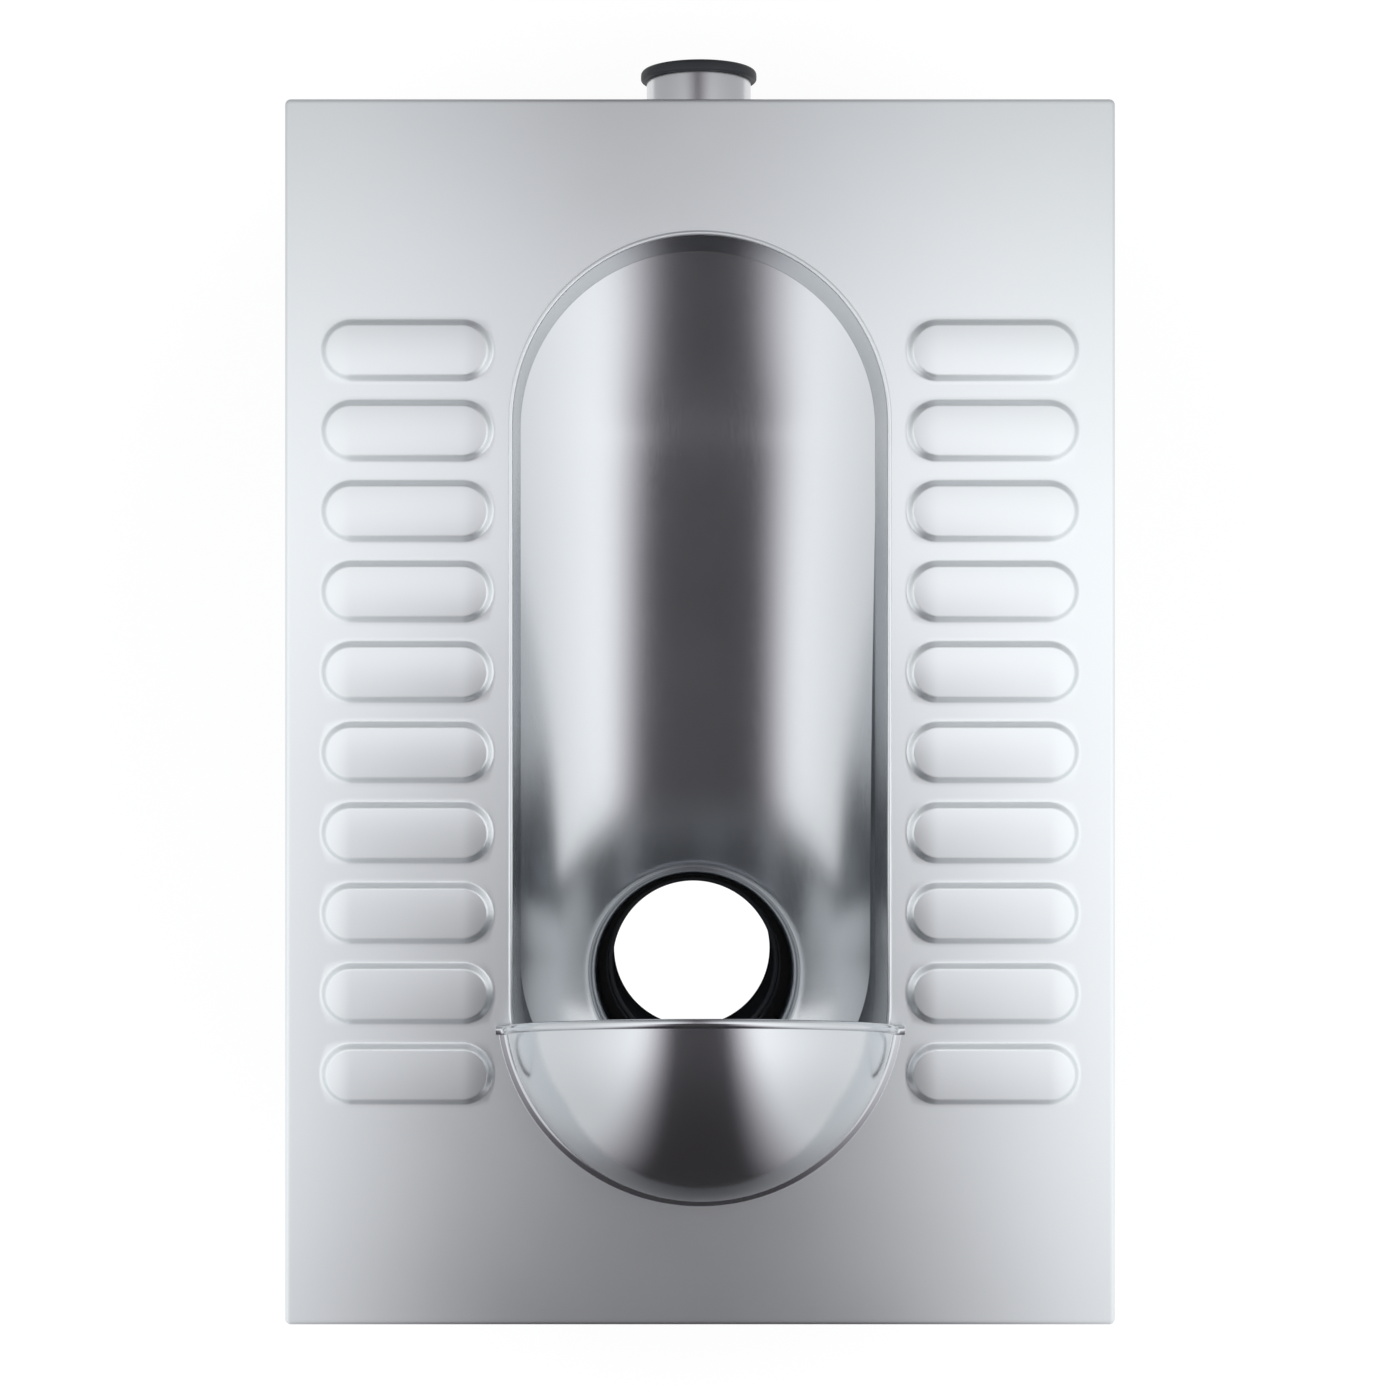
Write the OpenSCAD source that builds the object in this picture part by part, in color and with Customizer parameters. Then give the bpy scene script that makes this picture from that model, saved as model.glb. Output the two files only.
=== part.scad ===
// Squat toilet pan in pressed stainless steel.
// +Z is up, +Y points to the flush inlet at the rear, and the origin is the centre of the
// outlet's lower mouth. Every piece is sheet or tube, welded or pushed to its neighbour.

/* [Deck] */
// Length of the deck, front to rear
deck_l = 620; // [590:1:700]
// Width of the deck
deck_w = 420; // [412:1:500]
// Distance from the deck's front edge to the outlet's axis
outlet_setback = 152; // [146:1:160]
// Thickness of the pressed sheet
sheet = 1.2; // [1:0.1:1.5]
// Depth of the folded skirt
skirt_h = 28; // [22:1:34]
// Width of the skirt's inward return
return_w = 12; // [9:1:15]
// Radius of the deck's corners in plan
corner_r = 3; // [3:0.5:12]
// Outside radius of the folded edge
fold_r = 2; // [1.6:0.1:2.9]

/* [Treads] */
// Treads on each side
tread_count = 10; // [4:1:11]
// Length of a tread, across the deck
tread_l = 88; // [60:1:90]
// Width of a tread, front to rear
tread_w = 32; // [20:1:36]
// Distance from one tread to the next
tread_pitch = 40.6; // [38:0.1:42]
// Height of a tread above the deck
tread_h = 3; // [2:0.1:4]
// Width of a tread's sloped shoulder
shoulder_w = 4; // [3:0.1:6]
// Flat strip between the rim's bead and the treads
tread_gap = 7.1; // [7:0.1:12]

/* [Trough] */
// Distance from the deck's ends to the trough's opening
trough_end = 69; // [65:1:90]
// Clear width of the trough's opening
trough_w = 189; // [180:1:192]
// Width of the raised bead round the opening
bead_w = 2.4; // [2:0.1:3]
// Drop of the rim's curtain below the deck's top face
curtain_h = 52; // [50:1:56]
// Lean of the curtain towards the trough at its foot
curtain_lean = 0.8; // [0:0.1:3]
// Depth of the trough's floor below the deck, at the rear end
floor_rear = 100; // [95:1:120]
// Depth of the trough's floor below the deck, at the front end
floor_front = 149; // [135:1:160]
// Depth of the bowl's mouth below the trough's floor
mouth_drop = 23; // [15:1:30]
// Width of the flare round the mouth
flare_w = 14; // [10:1:30]
// Depth of the bowl's upright wall at the rear end
wall_rear = 14; // [8:1:20]
// Depth of the bowl's upright wall at the front end
wall_front = 58; // [30:1:64]
// Flatness of the floor's section at the rear end, where 2 is a parabola
rear_power = 2.2; // [2:0.1:4]
// Flatness of the floor's section at the front end
front_power = 2.6; // [2:0.1:4]
// How long the floor stays level at the front end, where 1 is a plain half cosine wave
floor_ease = 1.5; // [1:0.1:2]

/* [Flush channel] */
// Width of the channel between the curtain and the channel's wall
channel_w = 10.3; // [8:0.1:12]
// Height of the slot under the curtain
slot_h = 9; // [8:0.5:12]
// Distance from the curtain's foot outwards to the channel's inner edge
slot_set = 3; // [2:0.1:4]
// Width of the channel's top flange
flange_w = 12; // [8:1:14]

/* [Flush inlet] */
// Outside diameter of the inlet tube
inlet_d = 54; // [45:0.5:55]
// Wall of the inlet tube
inlet_wall = 1.5; // [1.2:0.1:2]
// How far the inlet tube stands out of the deck's rear edge
inlet_out = 15; // [8:1:40]
// How far the collar's flange stands out past the tube
collar_reach = 3; // [2:0.1:5]
// Thickness of the collar's flange
collar_t = 5.6; // [4:0.1:8]
// Wall of the collar's sleeve, inside the tube
sleeve_wall = 3.4; // [3:0.1:9]
// Length of the collar's sleeve
sleeve_l = 22; // [15:1:30]

/* [Outlet] */
// Inside diameter of the outlet tube
outlet_d = 100; // [95:1:102]
// Wall of the outlet tube
outlet_wall = 2; // [1.5:0.1:2.5]
// Length of the outlet tube below the bowl's mouth
outlet_l = 38; // [32:1:60]
// Wall of the seal round the tube
seal_wall = 2.9; // [2.5:0.1:4]
// Length of the seal's sleeve, up the tube
seal_sleeve_l = 26; // [20:1:30]
// Thickness of the seal under the tube's end
lip_t = 10; // [6:1:12]
// Wall of the seal's lining, inside the tube
lining_wall = 3; // [2:0.1:4]
// Distance from the bowl's mouth down to the lining's top
lining_gap = 2; // [1:0.5:5]
// Grooves round the seal
groove_count = 3; // [1:1:4]
// Width of a groove
groove_w = 2.4; // [1.5:0.1:3]
// Depth of a groove
groove_d = 1.3; // [0.8:0.1:1.5]

/* [Hood] */
// Height of the hood above the deck
hood_h = 92; // [80:1:97]
// Distance from the front arc's centre forwards to the arch's feet
arch_setback = 14.5; // [8:0.5:30]
// Distance from the front arc's centre rearwards to the arch's crown
arch_overhang = 8.6; // [0:0.1:14]
// Width of the hood's foot flange
hood_flange_w = 4.4; // [3:0.1:5]
// Diameter of the arch's rolled edge
roll_d = 4.5; // [3:0.1:6]

/* [Bars and lugs] */
// Width of a stiffener bar over its flanges
bar_w = 60; // [48:1:64]
// Width of a stiffener bar's web
bar_web = 38; // [28:1:40]
// Height of a stiffener bar
bar_h = 22; // [15:1:26]
// Distance from the deck's ends to the stiffener bars
bar_end = 55; // [30:1:90]
// Width of an anchor lug
lug_w = 30; // [20:1:40]
// Thickness of an anchor lug
lug_t = 2; // [1.5:0.1:3]
// Drop of an anchor lug from the skirt's return to its ears
lug_drop = 30; // [20:1:45]
// Splay of a lug's two ears, in degrees
ear_splay = 35; // [20:5:50]
// Width of the slit between a lug's ears
ear_slit = 3; // [2:0.5:5]
// Distance from the deck's ends to the anchor lugs
lug_end = 110; // [80:5:150]

/* [Hidden] */
$fn = 64;

// Clearances between pieces that slide or push together
push_gap = 0.1;
rim_gap = 0.2;
hood_gap = 0.5;
notch_gap = 1;
// Small overlap that makes a cut or a joint within one piece clean
eps = 0.4;
// Rounding of the collar's rim
collar_edge_r = 1.4;
// Steps in a tread's shoulder, and points round the bowl and rings up its wall
shoulder_steps = 6;
ring_points = 72;
wall_rings = 20;
// Anything this big reaches past the whole object
far = 1000;

steel = "#C9CCCE";
bright_steel = "#D8DADC";
dark_steel = "#8F9296";
black_rubber = "#23272B";

// Places along the deck
deck_y = deck_l / 2 - outlet_setback;
half_spine = (deck_l - trough_w) / 2 - trough_end;
rear_y = deck_y + half_spine;
front_y = deck_y - half_spine;
rear_edge = deck_y + deck_l / 2;

// Radii measured out from the trough's spine
opening_r = trough_w / 2;
bead_r = opening_r + bead_w;
hole_r = opening_r + sheet + rim_gap;
curtain_foot_r = opening_r + sheet - curtain_lean;
channel_r = opening_r + sheet + channel_w;
trough_r = curtain_foot_r + slot_set;
flange_r = channel_r + flange_w;

// Heights, built up from the outlet's lower mouth. The inlet is in the middle of the channel
mouth_z = lip_t + outlet_l;
deck_h = mouth_z + mouth_drop + floor_front;
deck_under = deck_h - sheet;
channel_floor = deck_h - curtain_h - slot_h;
bowl_top = channel_floor - sheet;
inlet_z = (deck_under + channel_floor) / 2;

// Radii of the outlet and the inlet
mouth_r = outlet_d / 2;
inlet_r = inlet_d / 2;

// Carries a profile, drawn as radius and height, round the trough's stadium
module round_trough() {
    for (side = [0, 1])
        translate([0, side == 0 ? rear_y : front_y, 0])
            rotate([0, 0, 180 * side])
                rotate_extrude(angle = 180)
                    children();
    for (side = [0, 1])
        mirror([side, 0, 0])
            translate([0, deck_y, 0])
                rotate([90, 0, 0])
                    linear_extrude(2 * half_spine, center = true)
                        children();
}

module stadium(r) {
    translate([0, rear_y])
        circle(r);
    translate([0, front_y])
        circle(r);
    translate([-r, front_y])
        square([2 * r, rear_y - front_y]);
}

module rounded_rect(l, w, r) {
    for (x = [-1, 1])
        for (y = [-1, 1])
            translate([x * (w / 2 - r), y * (l / 2 - r)])
                circle(r);
    square([w - 2 * r, l], center = true);
    square([w, l - 2 * r], center = true);
}

// ---- deck

// Section of a block's edge: square below, with its top corner rounded
module edge_section(reach, bottom, top, round_r) {
    translate([0, bottom])
        square([reach, top - bottom - round_r]);
    translate([0, bottom])
        square([reach - round_r, top - bottom]);
    intersection() {
        translate([reach - round_r, top - round_r])
            circle(round_r);
        translate([0, bottom])
            square([reach, top - bottom]);
    }
}

// A block as big as the deck less an inset, with a rounded top edge
module deck_block(inset, bottom, top) {
    r = corner_r - inset;
    round_r = fold_r - inset;
    half_w = deck_w / 2 - corner_r;
    half_l = deck_l / 2 - corner_r;
    translate([-half_w, -half_l, bottom])
        cube([2 * half_w, 2 * half_l, top - bottom]);
    for (turn = [0, 1])
        for (side = [0, 180])
            rotate([0, 0, side + 90 * turn])
                translate([turn == 0 ? half_w : half_l, 0, 0])
                    rotate([90, 0, 0])
                        linear_extrude(2 * (turn == 0 ? half_l : half_w), center = true)
                            edge_section(r, bottom, top, round_r);
    for (x = [0, 1])
        for (y = [0, 1])
            mirror([x, 0, 0])
                mirror([0, y, 0])
                    translate([half_w, half_l, 0])
                        rotate_extrude(angle = 90)
                            edge_section(r, bottom, top, round_r);
}

// Point of a tread's S-shaped shoulder, where s runs from 0 at the foot to 1 at the top,
// moved down into the sheet along the surface's normal by the amount under
function shoulder_point(s, under) =
    let (rise = tread_h * PI / 2 * sin(180 * s),
        slope = sqrt(rise * rise + shoulder_w * shoulder_w))
    [tread_w / 2 - shoulder_w * s - under * rise / slope,
        tread_h * (1 - cos(180 * s)) / 2 - under * shoulder_w / slope];

module tread_section(under, bottom) {
    polygon(concat(
        [[0, bottom], [tread_w / 2, bottom]],
        [for (i = [0:shoulder_steps]) shoulder_point(i / shoulder_steps, under)],
        [[0, tread_h - under]]));
}

module tread(under, bottom) {
    straight = tread_l - tread_w;
    for (side = [0, 1])
        mirror([side, 0, 0])
            translate([straight / 2, 0, 0])
                rotate([0, 0, -90])
                    rotate_extrude(angle = 180)
                        tread_section(under, bottom);
    rotate([90, 0, 90])
        linear_extrude(straight, center = true) {
            tread_section(under, bottom);
            mirror([1, 0])
                tread_section(under, bottom);
        }
}

module treads(under, bottom) {
    tread_x = bead_r + tread_gap + tread_l / 2;
    for (side = [-1, 1])
        for (i = [0:tread_count - 1])
            translate([side * tread_x, (i - (tread_count - 1) / 2) * tread_pitch, 0])
                tread(under, bottom);
}

module deck() {
    color(steel)
        difference() {
            union() {
                translate([0, deck_y, deck_h])
                    difference() {
                        union() {
                            deck_block(0, -skirt_h, 0);
                            treads(0, -sheet);
                        }
                        deck_block(sheet, -skirt_h - eps, -sheet);
                        treads(sheet, -sheet - eps);
                    }
                translate([0, deck_y, deck_h - skirt_h])
                    linear_extrude(sheet)
                        difference() {
                            rounded_rect(deck_l - sheet, deck_w - sheet, corner_r);
                            square([deck_w - 2 * return_w, deck_l - 2 * return_w],
                                center = true);
                        }
            }
            translate([0, 0, deck_under - eps])
                linear_extrude(sheet + 2 * eps)
                    stadium(hole_r);
            inlet_notch();
        }
}

// The skirt is cut away where the inlet tube passes through it
module inlet_notch() {
    notch_r = inlet_r + notch_gap;
    translate([0, rear_edge - return_w - eps, inlet_z])
        rotate([-90, 0, 0])
            cylinder(r = notch_r, h = return_w + 2 * eps);
    translate([-notch_r, rear_edge - return_w - eps, inlet_z - skirt_h])
        cube([2 * notch_r, return_w + 2 * eps, skirt_h]);
}

// ---- rim curtain

module curtain_section() {
    polygon([
        [opening_r, deck_h],
        [opening_r - curtain_lean, deck_h - curtain_h],
        [curtain_foot_r, deck_h - curtain_h],
        [opening_r + sheet, deck_h]]);
    intersection() {
        translate([opening_r + bead_w / 2, deck_h])
            circle(bead_w / 2);
        translate([opening_r, deck_h])
            square([bead_w, bead_w]);
    }
}

module rim_curtain() {
    color(bright_steel)
        round_trough()
            curtain_section();
}

// ---- flush channel

module channel_section() {
    top = deck_under;
    translate([channel_r, top - sheet])
        square([flange_w, sheet]);
    translate([channel_r, bowl_top])
        square([sheet, top - bowl_top]);
    translate([trough_r, bowl_top])
        square([channel_r + sheet - trough_r, sheet]);
}

module flush_channel() {
    color(dark_steel)
        difference() {
            round_trough()
                channel_section();
            translate([0, rear_y, inlet_z])
                rotate([-90, 0, 0])
                    cylinder(r = inlet_r + push_gap, h = far);
        }
}

// ---- bowl

foot_r = channel_r + sheet;

// Point i of the stadium at radius r round the trough's spine, evenly spaced along it from
// the middle of the right side
function stadium_point(r, i) =
    let (arc = PI * r, run = 2 * half_spine,
        at = i / ring_points * 2 * (arc + run),
        past_rear = at - run / 2,
        past_left = past_rear - arc,
        past_front = past_left - run,
        rear_turn = past_rear / r * 180 / PI,
        front_turn = past_front / r * 180 / PI)
    past_rear < 0 ? [r, deck_y + at] :
    past_left < 0 ? [r * cos(rear_turn), rear_y + r * sin(rear_turn)] :
    past_front < 0 ? [-r, rear_y - past_left] :
    past_front < arc ? [-r * cos(front_turn), front_y - r * sin(front_turn)] :
    [r, front_y + past_front - arc];

// Value that runs from the trough's front end to its rear end by half a cosine wave, which
// starts the later the more it is eased
function blend(front, rear, y) =
    let (along = (y - front_y + trough_r) / (2 * (trough_r + half_spine)),
        k = pow(min(max(along, 0), 1), floor_ease))
    front + (rear - front) * (1 - cos(180 * k)) / 2;

// Distance of a point from the trough's spine
function spine_distance(p) =
    norm([p[0], p[1] - min(max(p[1], front_y), rear_y)]);

// Height of the trough before its mouth is flared: an upright wall, and below it a floor
// that falls by a power curve from the rim, flatter towards the front
function trough_height(p, r) =
    let (u = min(spine_distance(p) / r, 1),
        wall = blend(wall_front, wall_rear, p[1]),
        drop = blend(floor_front, floor_rear, p[1]) - (deck_h - bowl_top) - wall,
        power = blend(front_power, rear_power, p[1]))
    bowl_top - wall - drop * (1 - pow(u, power));

// Share of the flare at a distance from the outlet's axis: 1 at the mouth, 0 past the flare
function flare(r, inner_r) =
    let (q = max(0, 1 - (r - inner_r) / flare_w))
    1 - sqrt(max(0, 1 - q * q * q));

// Point of the bowl's surface, grown outwards by the sheet's thickness for its outside.
// t runs from 0 at the mouth to 1 at the rim, and points crowd towards both
function bowl_point(t, i, grow) =
    let (rim = stadium_point(trough_r + grow, i),
        inner_r = mouth_r + grow,
        reach = norm(rim),
        r = inner_r + (reach - inner_r) * (1 - cos(180 * t)) / 2,
        p = rim * r / reach,
        f = flare(r, inner_r),
        z = trough_height(p, trough_r + grow) - grow)
    [p[0], p[1], (1 - f) * z + f * mouth_z];

// Level ring of points round the trough
function level_ring(r, z) =
    [for (i = [0:ring_points - 1]) concat(stadium_point(r, i), z)];

module bowl() {
    rings = concat(
        [for (j = [0:wall_rings]) [for (i = [0:ring_points - 1])
            bowl_point(j / wall_rings, i, 0)]],
        [level_ring(trough_r, bowl_top), level_ring(foot_r, bowl_top),
            level_ring(foot_r, bowl_top - sheet),
            level_ring(trough_r + sheet, bowl_top - sheet)],
        [for (j = [wall_rings:-1:0]) [for (i = [0:ring_points - 1])
            bowl_point(j / wall_rings, i, sheet)]]);
    count = len(rings);
    color(bright_steel)
        polyhedron(
            points = [for (ring = rings) for (p = ring) p],
            faces = [for (j = [0:count - 1]) for (i = [0:ring_points - 1]) for (half = [0, 1])
                let (a = j * ring_points + i,
                    b = j * ring_points + (i + 1) % ring_points,
                    c = ((j + 1) % count) * ring_points + (i + 1) % ring_points,
                    d = ((j + 1) % count) * ring_points + i)
                half == 0 ? [a, c, b] : [a, d, c]]);
}

// ---- hood

// The dome is part of a sphere that stands on the deck round the trough's front end
module hood() {
    foot = bead_r + hood_gap + sheet;
    ball_r = (foot * foot + hood_h * hood_h) / (2 * hood_h);
    ball_z = hood_h - ball_r;
    lean = atan((arch_setback + arch_overhang) / hood_h);
    outer_r = foot + hood_flange_w;
    // Centre and radius of the circle in which the leaning arch cuts the dome's sheet
    apart = arch_setback * cos(lean) - ball_z * sin(lean);
    arch_z = arch_setback * sin(lean) + ball_z * cos(lean);
    mid_r = ball_r - sheet / 2;
    arch_r = sqrt(mid_r * mid_r - apart * apart);
    // The roll's ends sink into the foot flange
    roll_z = roll_d / 2 - eps;
    color(bright_steel)
        translate([0, front_y, deck_h])
            intersection() {
                union() {
                    difference() {
                        translate([0, 0, ball_z])
                            sphere(ball_r);
                        translate([0, 0, ball_z])
                            sphere(ball_r - sheet);
                        translate([0, -arch_setback, 0])
                            rotate([-lean, 0, 0])
                                translate([-far / 2, 0, -far / 2])
                                    cube(far);
                    }
                    translate([0, -arch_setback, 0])
                        rotate([-lean, 0, 0])
                            translate([0, 0, arch_z])
                                rotate([90, 0, 0])
                                    rotate_extrude()
                                        translate([arch_r, 0])
                                            circle(d = roll_d);
                    difference() {
                        cylinder(r = outer_r, h = sheet);
                        translate([0, 0, -eps])
                            cylinder(r = foot - sheet, h = sheet + 2 * eps);
                        translate([-far / 2, -arch_setback, -far / 2])
                            cube(far);
                    }
                    for (side = [0, 180])
                        translate([0, -arch_setback, roll_z])
                            rotate([0, side + 90, 0])
                                translate([0, 0, arch_r])
                                    cylinder(d = roll_d, h = outer_r - arch_r);
                }
                translate([-far / 2, -far / 2, 0])
                    cube(far);
            }
}

// ---- flush inlet

tube_end = rear_edge + inlet_out;

module flush_spigot() {
    // The tube's inner end stands just inside the channel's curved wall
    chord = sqrt(channel_r * channel_r - inlet_r * inlet_r);
    start = rear_y + chord - eps;
    color(steel)
        translate([0, start, inlet_z])
            rotate([-90, 0, 0])
                difference() {
                    cylinder(r = inlet_r, h = tube_end - start);
                    translate([0, 0, -eps])
                        cylinder(r = inlet_r - inlet_wall, h = far);
                }
}

module inlet_collar() {
    sleeve_r = inlet_r - inlet_wall - push_gap;
    bore_r = sleeve_r - sleeve_wall;
    rim_r = inlet_r + collar_reach;
    color(black_rubber)
        translate([0, tube_end, inlet_z])
            rotate([-90, 0, 0])
                rotate_extrude() {
                    translate([bore_r, -sleeve_l])
                        square([sleeve_wall, sleeve_l + eps]);
                    translate([bore_r, 0])
                        square([rim_r - collar_edge_r - bore_r, collar_t]);
                    translate([bore_r, collar_edge_r])
                        square([rim_r - bore_r, collar_t - 2 * collar_edge_r]);
                    for (z = [collar_edge_r, collar_t - collar_edge_r])
                        translate([rim_r - collar_edge_r, z])
                            circle(collar_edge_r);
                }
}

// ---- outlet

module outlet_spigot() {
    color(dark_steel)
        translate([0, 0, lip_t])
            difference() {
                cylinder(r = mouth_r + outlet_wall, h = outlet_l);
                translate([0, 0, -eps])
                    cylinder(r = mouth_r, h = outlet_l + 2 * eps);
            }
}

// The seal grips the tube's end from both sides, and its lining reaches up to the mouth
module outlet_seal() {
    tube_r = mouth_r + outlet_wall + push_gap;
    seal_r = tube_r + seal_wall;
    seal_l = lip_t + seal_sleeve_l;
    lining_l = mouth_z - lining_gap;
    land = (seal_l - groove_count * groove_w) / (groove_count + 1);
    color(black_rubber)
        difference() {
            union() {
                cylinder(r = seal_r, h = seal_l);
                cylinder(r = mouth_r - push_gap, h = lining_l);
            }
            translate([0, 0, -eps])
                cylinder(r = mouth_r - lining_wall, h = lining_l + 2 * eps);
            translate([0, 0, lip_t])
                difference() {
                    cylinder(r = tube_r, h = lining_l);
                    translate([0, 0, -eps])
                        cylinder(r = mouth_r - push_gap, h = lining_l + 2 * eps);
                }
            for (i = [1:groove_count])
                translate([0, 0, i * land + (i - 1) * groove_w])
                    difference() {
                        cylinder(r = seal_r + eps, h = groove_w);
                        translate([0, 0, -eps])
                            cylinder(r = seal_r - groove_d, h = groove_w + 2 * eps);
                    }
        }
}

// ---- stiffener bars

bar_x = (flange_r + deck_w / 2 - return_w) / 2;

module bar_section() {
    for (side = [0, 1])
        mirror([side, 0]) {
            translate([bar_web / 2 - sheet, -sheet])
                square([(bar_w - bar_web) / 2 + sheet, sheet]);
            translate([bar_web / 2 - sheet, -bar_h])
                square([sheet, bar_h]);
        }
    translate([-bar_web / 2, -bar_h])
        square([bar_web, sheet]);
}

module stiffener(side) {
    color(dark_steel)
        translate([side * bar_x, deck_y, deck_under])
            rotate([90, 0, 0])
                linear_extrude(deck_l - 2 * bar_end, center = true)
                    bar_section();
}

module left_stiffener() {
    stiffener(-1);
}

module right_stiffener() {
    stiffener(1);
}

// ---- anchor lugs

// A lug's edge on one side of its slit: a tab on the skirt's return, a leg that drops past
// the return's edge, and an ear that splays to the side that turn names, 1 or -1
module lug_section(turn) {
    seat = return_w - sheet - fold_r;
    knee_z = -lug_drop;
    mitre = turn * lug_t / 2 * tan(ear_splay / 2);
    along = [turn * sin(ear_splay), -cos(ear_splay)];
    across = [cos(ear_splay), turn * sin(ear_splay)];
    tip = [-lug_t / 2, knee_z] + along * lug_w / 2;
    polygon([
        [0, 0], [seat, 0], [seat, lug_t], [-lug_t, lug_t],
        [-lug_t, knee_z - mitre],
        tip - across * lug_t / 2,
        tip + across * lug_t / 2,
        [0, knee_z + mitre]]);
}

module anchor_lug() {
    slit_top = -lug_drop + ear_slit;
    difference() {
        for (turn = [-1, 1])
            translate([0, turn * lug_w / 4, 0])
                rotate([90, 0, 0])
                    linear_extrude(lug_w / 2, center = true)
                        lug_section(turn);
        translate([-lug_w, -ear_slit / 2, slit_top - lug_w])
            cube([2 * lug_w, ear_slit, lug_w]);
    }
}

module anchor_lugs() {
    lug_x = deck_w / 2 - return_w;
    lug_y = deck_l / 2 - lug_end;
    color(dark_steel)
        translate([0, deck_y, deck_h - skirt_h + sheet])
            for (x = [0, 1])
                for (y = [-1, 1])
                    mirror([x, 0, 0])
                        translate([lug_x, y * lug_y, 0])
                            anchor_lug();
}

deck();
rim_curtain();
flush_channel();
bowl();
hood();
flush_spigot();
inlet_collar();
outlet_spigot();
outlet_seal();
left_stiffener();
right_stiffener();
anchor_lugs();
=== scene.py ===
"""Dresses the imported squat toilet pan: smooth steel and rubber pieces round the CAD frame.

Every length is in metres and every place is in the CAD frame: +Z up, +Y to the rear, and the
origin at the centre of the outlet's lower mouth.
"""

import math

import bmesh
import bpy
import numpy as np
from bpy.props import FloatProperty, IntProperty, PointerProperty, StringProperty
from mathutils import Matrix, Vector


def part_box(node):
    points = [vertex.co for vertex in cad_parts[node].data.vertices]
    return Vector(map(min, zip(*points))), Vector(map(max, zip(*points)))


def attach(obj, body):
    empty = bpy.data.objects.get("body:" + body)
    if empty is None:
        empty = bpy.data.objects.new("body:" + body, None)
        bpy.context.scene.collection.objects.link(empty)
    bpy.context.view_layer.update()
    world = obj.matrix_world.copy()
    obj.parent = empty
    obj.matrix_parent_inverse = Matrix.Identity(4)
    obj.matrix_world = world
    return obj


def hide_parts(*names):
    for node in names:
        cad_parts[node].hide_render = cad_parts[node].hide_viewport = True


bl_info = {
    "name": "Squat Toilet Pan",
    "version": (1, 0, 0),
    "blender": (4, 5, 0),
    "location": "View3D > Sidebar > Pan",
    "description": "Builds the steel and rubber pieces of a squat toilet pan round its frame",
    "category": "Add Mesh",
}

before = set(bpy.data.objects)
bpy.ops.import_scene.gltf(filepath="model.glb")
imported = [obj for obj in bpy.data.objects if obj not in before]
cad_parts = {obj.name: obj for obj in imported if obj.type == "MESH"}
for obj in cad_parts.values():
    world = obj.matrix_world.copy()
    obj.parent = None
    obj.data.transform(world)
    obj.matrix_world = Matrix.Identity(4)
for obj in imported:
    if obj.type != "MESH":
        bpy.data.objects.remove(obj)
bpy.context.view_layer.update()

DECK_LOW, DECK_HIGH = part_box("deck")
BODY = "root"

# Small sizes of the sheet work and of the moulds, in metres
RIM_GAP = 0.0002         # between the curtain and the deck's opening
NOTCH_GAP = 0.001        # between the inlet tube and the arch in the skirt
RETURN_BEND = 0.0012     # outside radius of the skirt's return
INNER_BEND, OUTER_BEND = 0.0012, 0.0024    # of the hidden sheet
CUT_EDGE = 0.0003        # rounding of a cut edge of the sheet
WELD = 0.0004            # how far a tube sinks into the sheet that it is welded to
SAME = 1e-7              # places closer than this are one


# ---- Sizes and colours that a user would change


def length(name, default, description):
    """A length property, in metres, whose default is given in millimetres."""
    return FloatProperty(name=name, description=description, default=default / 1000,
                         unit="LENGTH", precision=4)


def number(name, default, description):
    """A plain number property."""
    return FloatProperty(name=name, description=description, default=default, precision=3)


def colour(name, default, description):
    """A colour property that holds an sRGB hex value."""
    return StringProperty(name=name, description=description, default=default)


class PanDeck(bpy.types.PropertyGroup):
    """The pressed deck and its treads."""

    length: length("Length", (DECK_HIGH.y - DECK_LOW.y) * 1000, "Deck, front to rear")
    width: length("Width", (DECK_HIGH.x - DECK_LOW.x) * 1000, "Deck, side to side")
    height: length("Height", 220, "Deck's flat top above the outlet's mouth")
    sheet: length("Sheet", 1.2, "Thickness of the pressed sheet")
    skirt: length("Skirt", 28, "Depth of the folded skirt")
    fold_return: length("Return", 12, "Width of the skirt's inward return")
    corner: length("Corner radius", 3, "Radius of the deck's corners in plan")
    fold: length("Fold radius", 2, "Outside radius of the folded edge")
    treads: IntProperty(name="Treads", description="Treads on each side", default=10)
    tread_length: length("Tread length", 88, "Tread, across the deck")
    tread_width: length("Tread width", 32, "Tread, front to rear")
    tread_pitch: length("Tread pitch", 40.6, "From one tread to the next")
    tread_height: length("Tread height", 3, "Tread above the deck")
    shoulder: length("Shoulder", 4, "Width of a tread's sloped shoulder")
    tread_gap: length("Tread gap", 7.1, "Flat strip between the bead and the treads")


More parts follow.
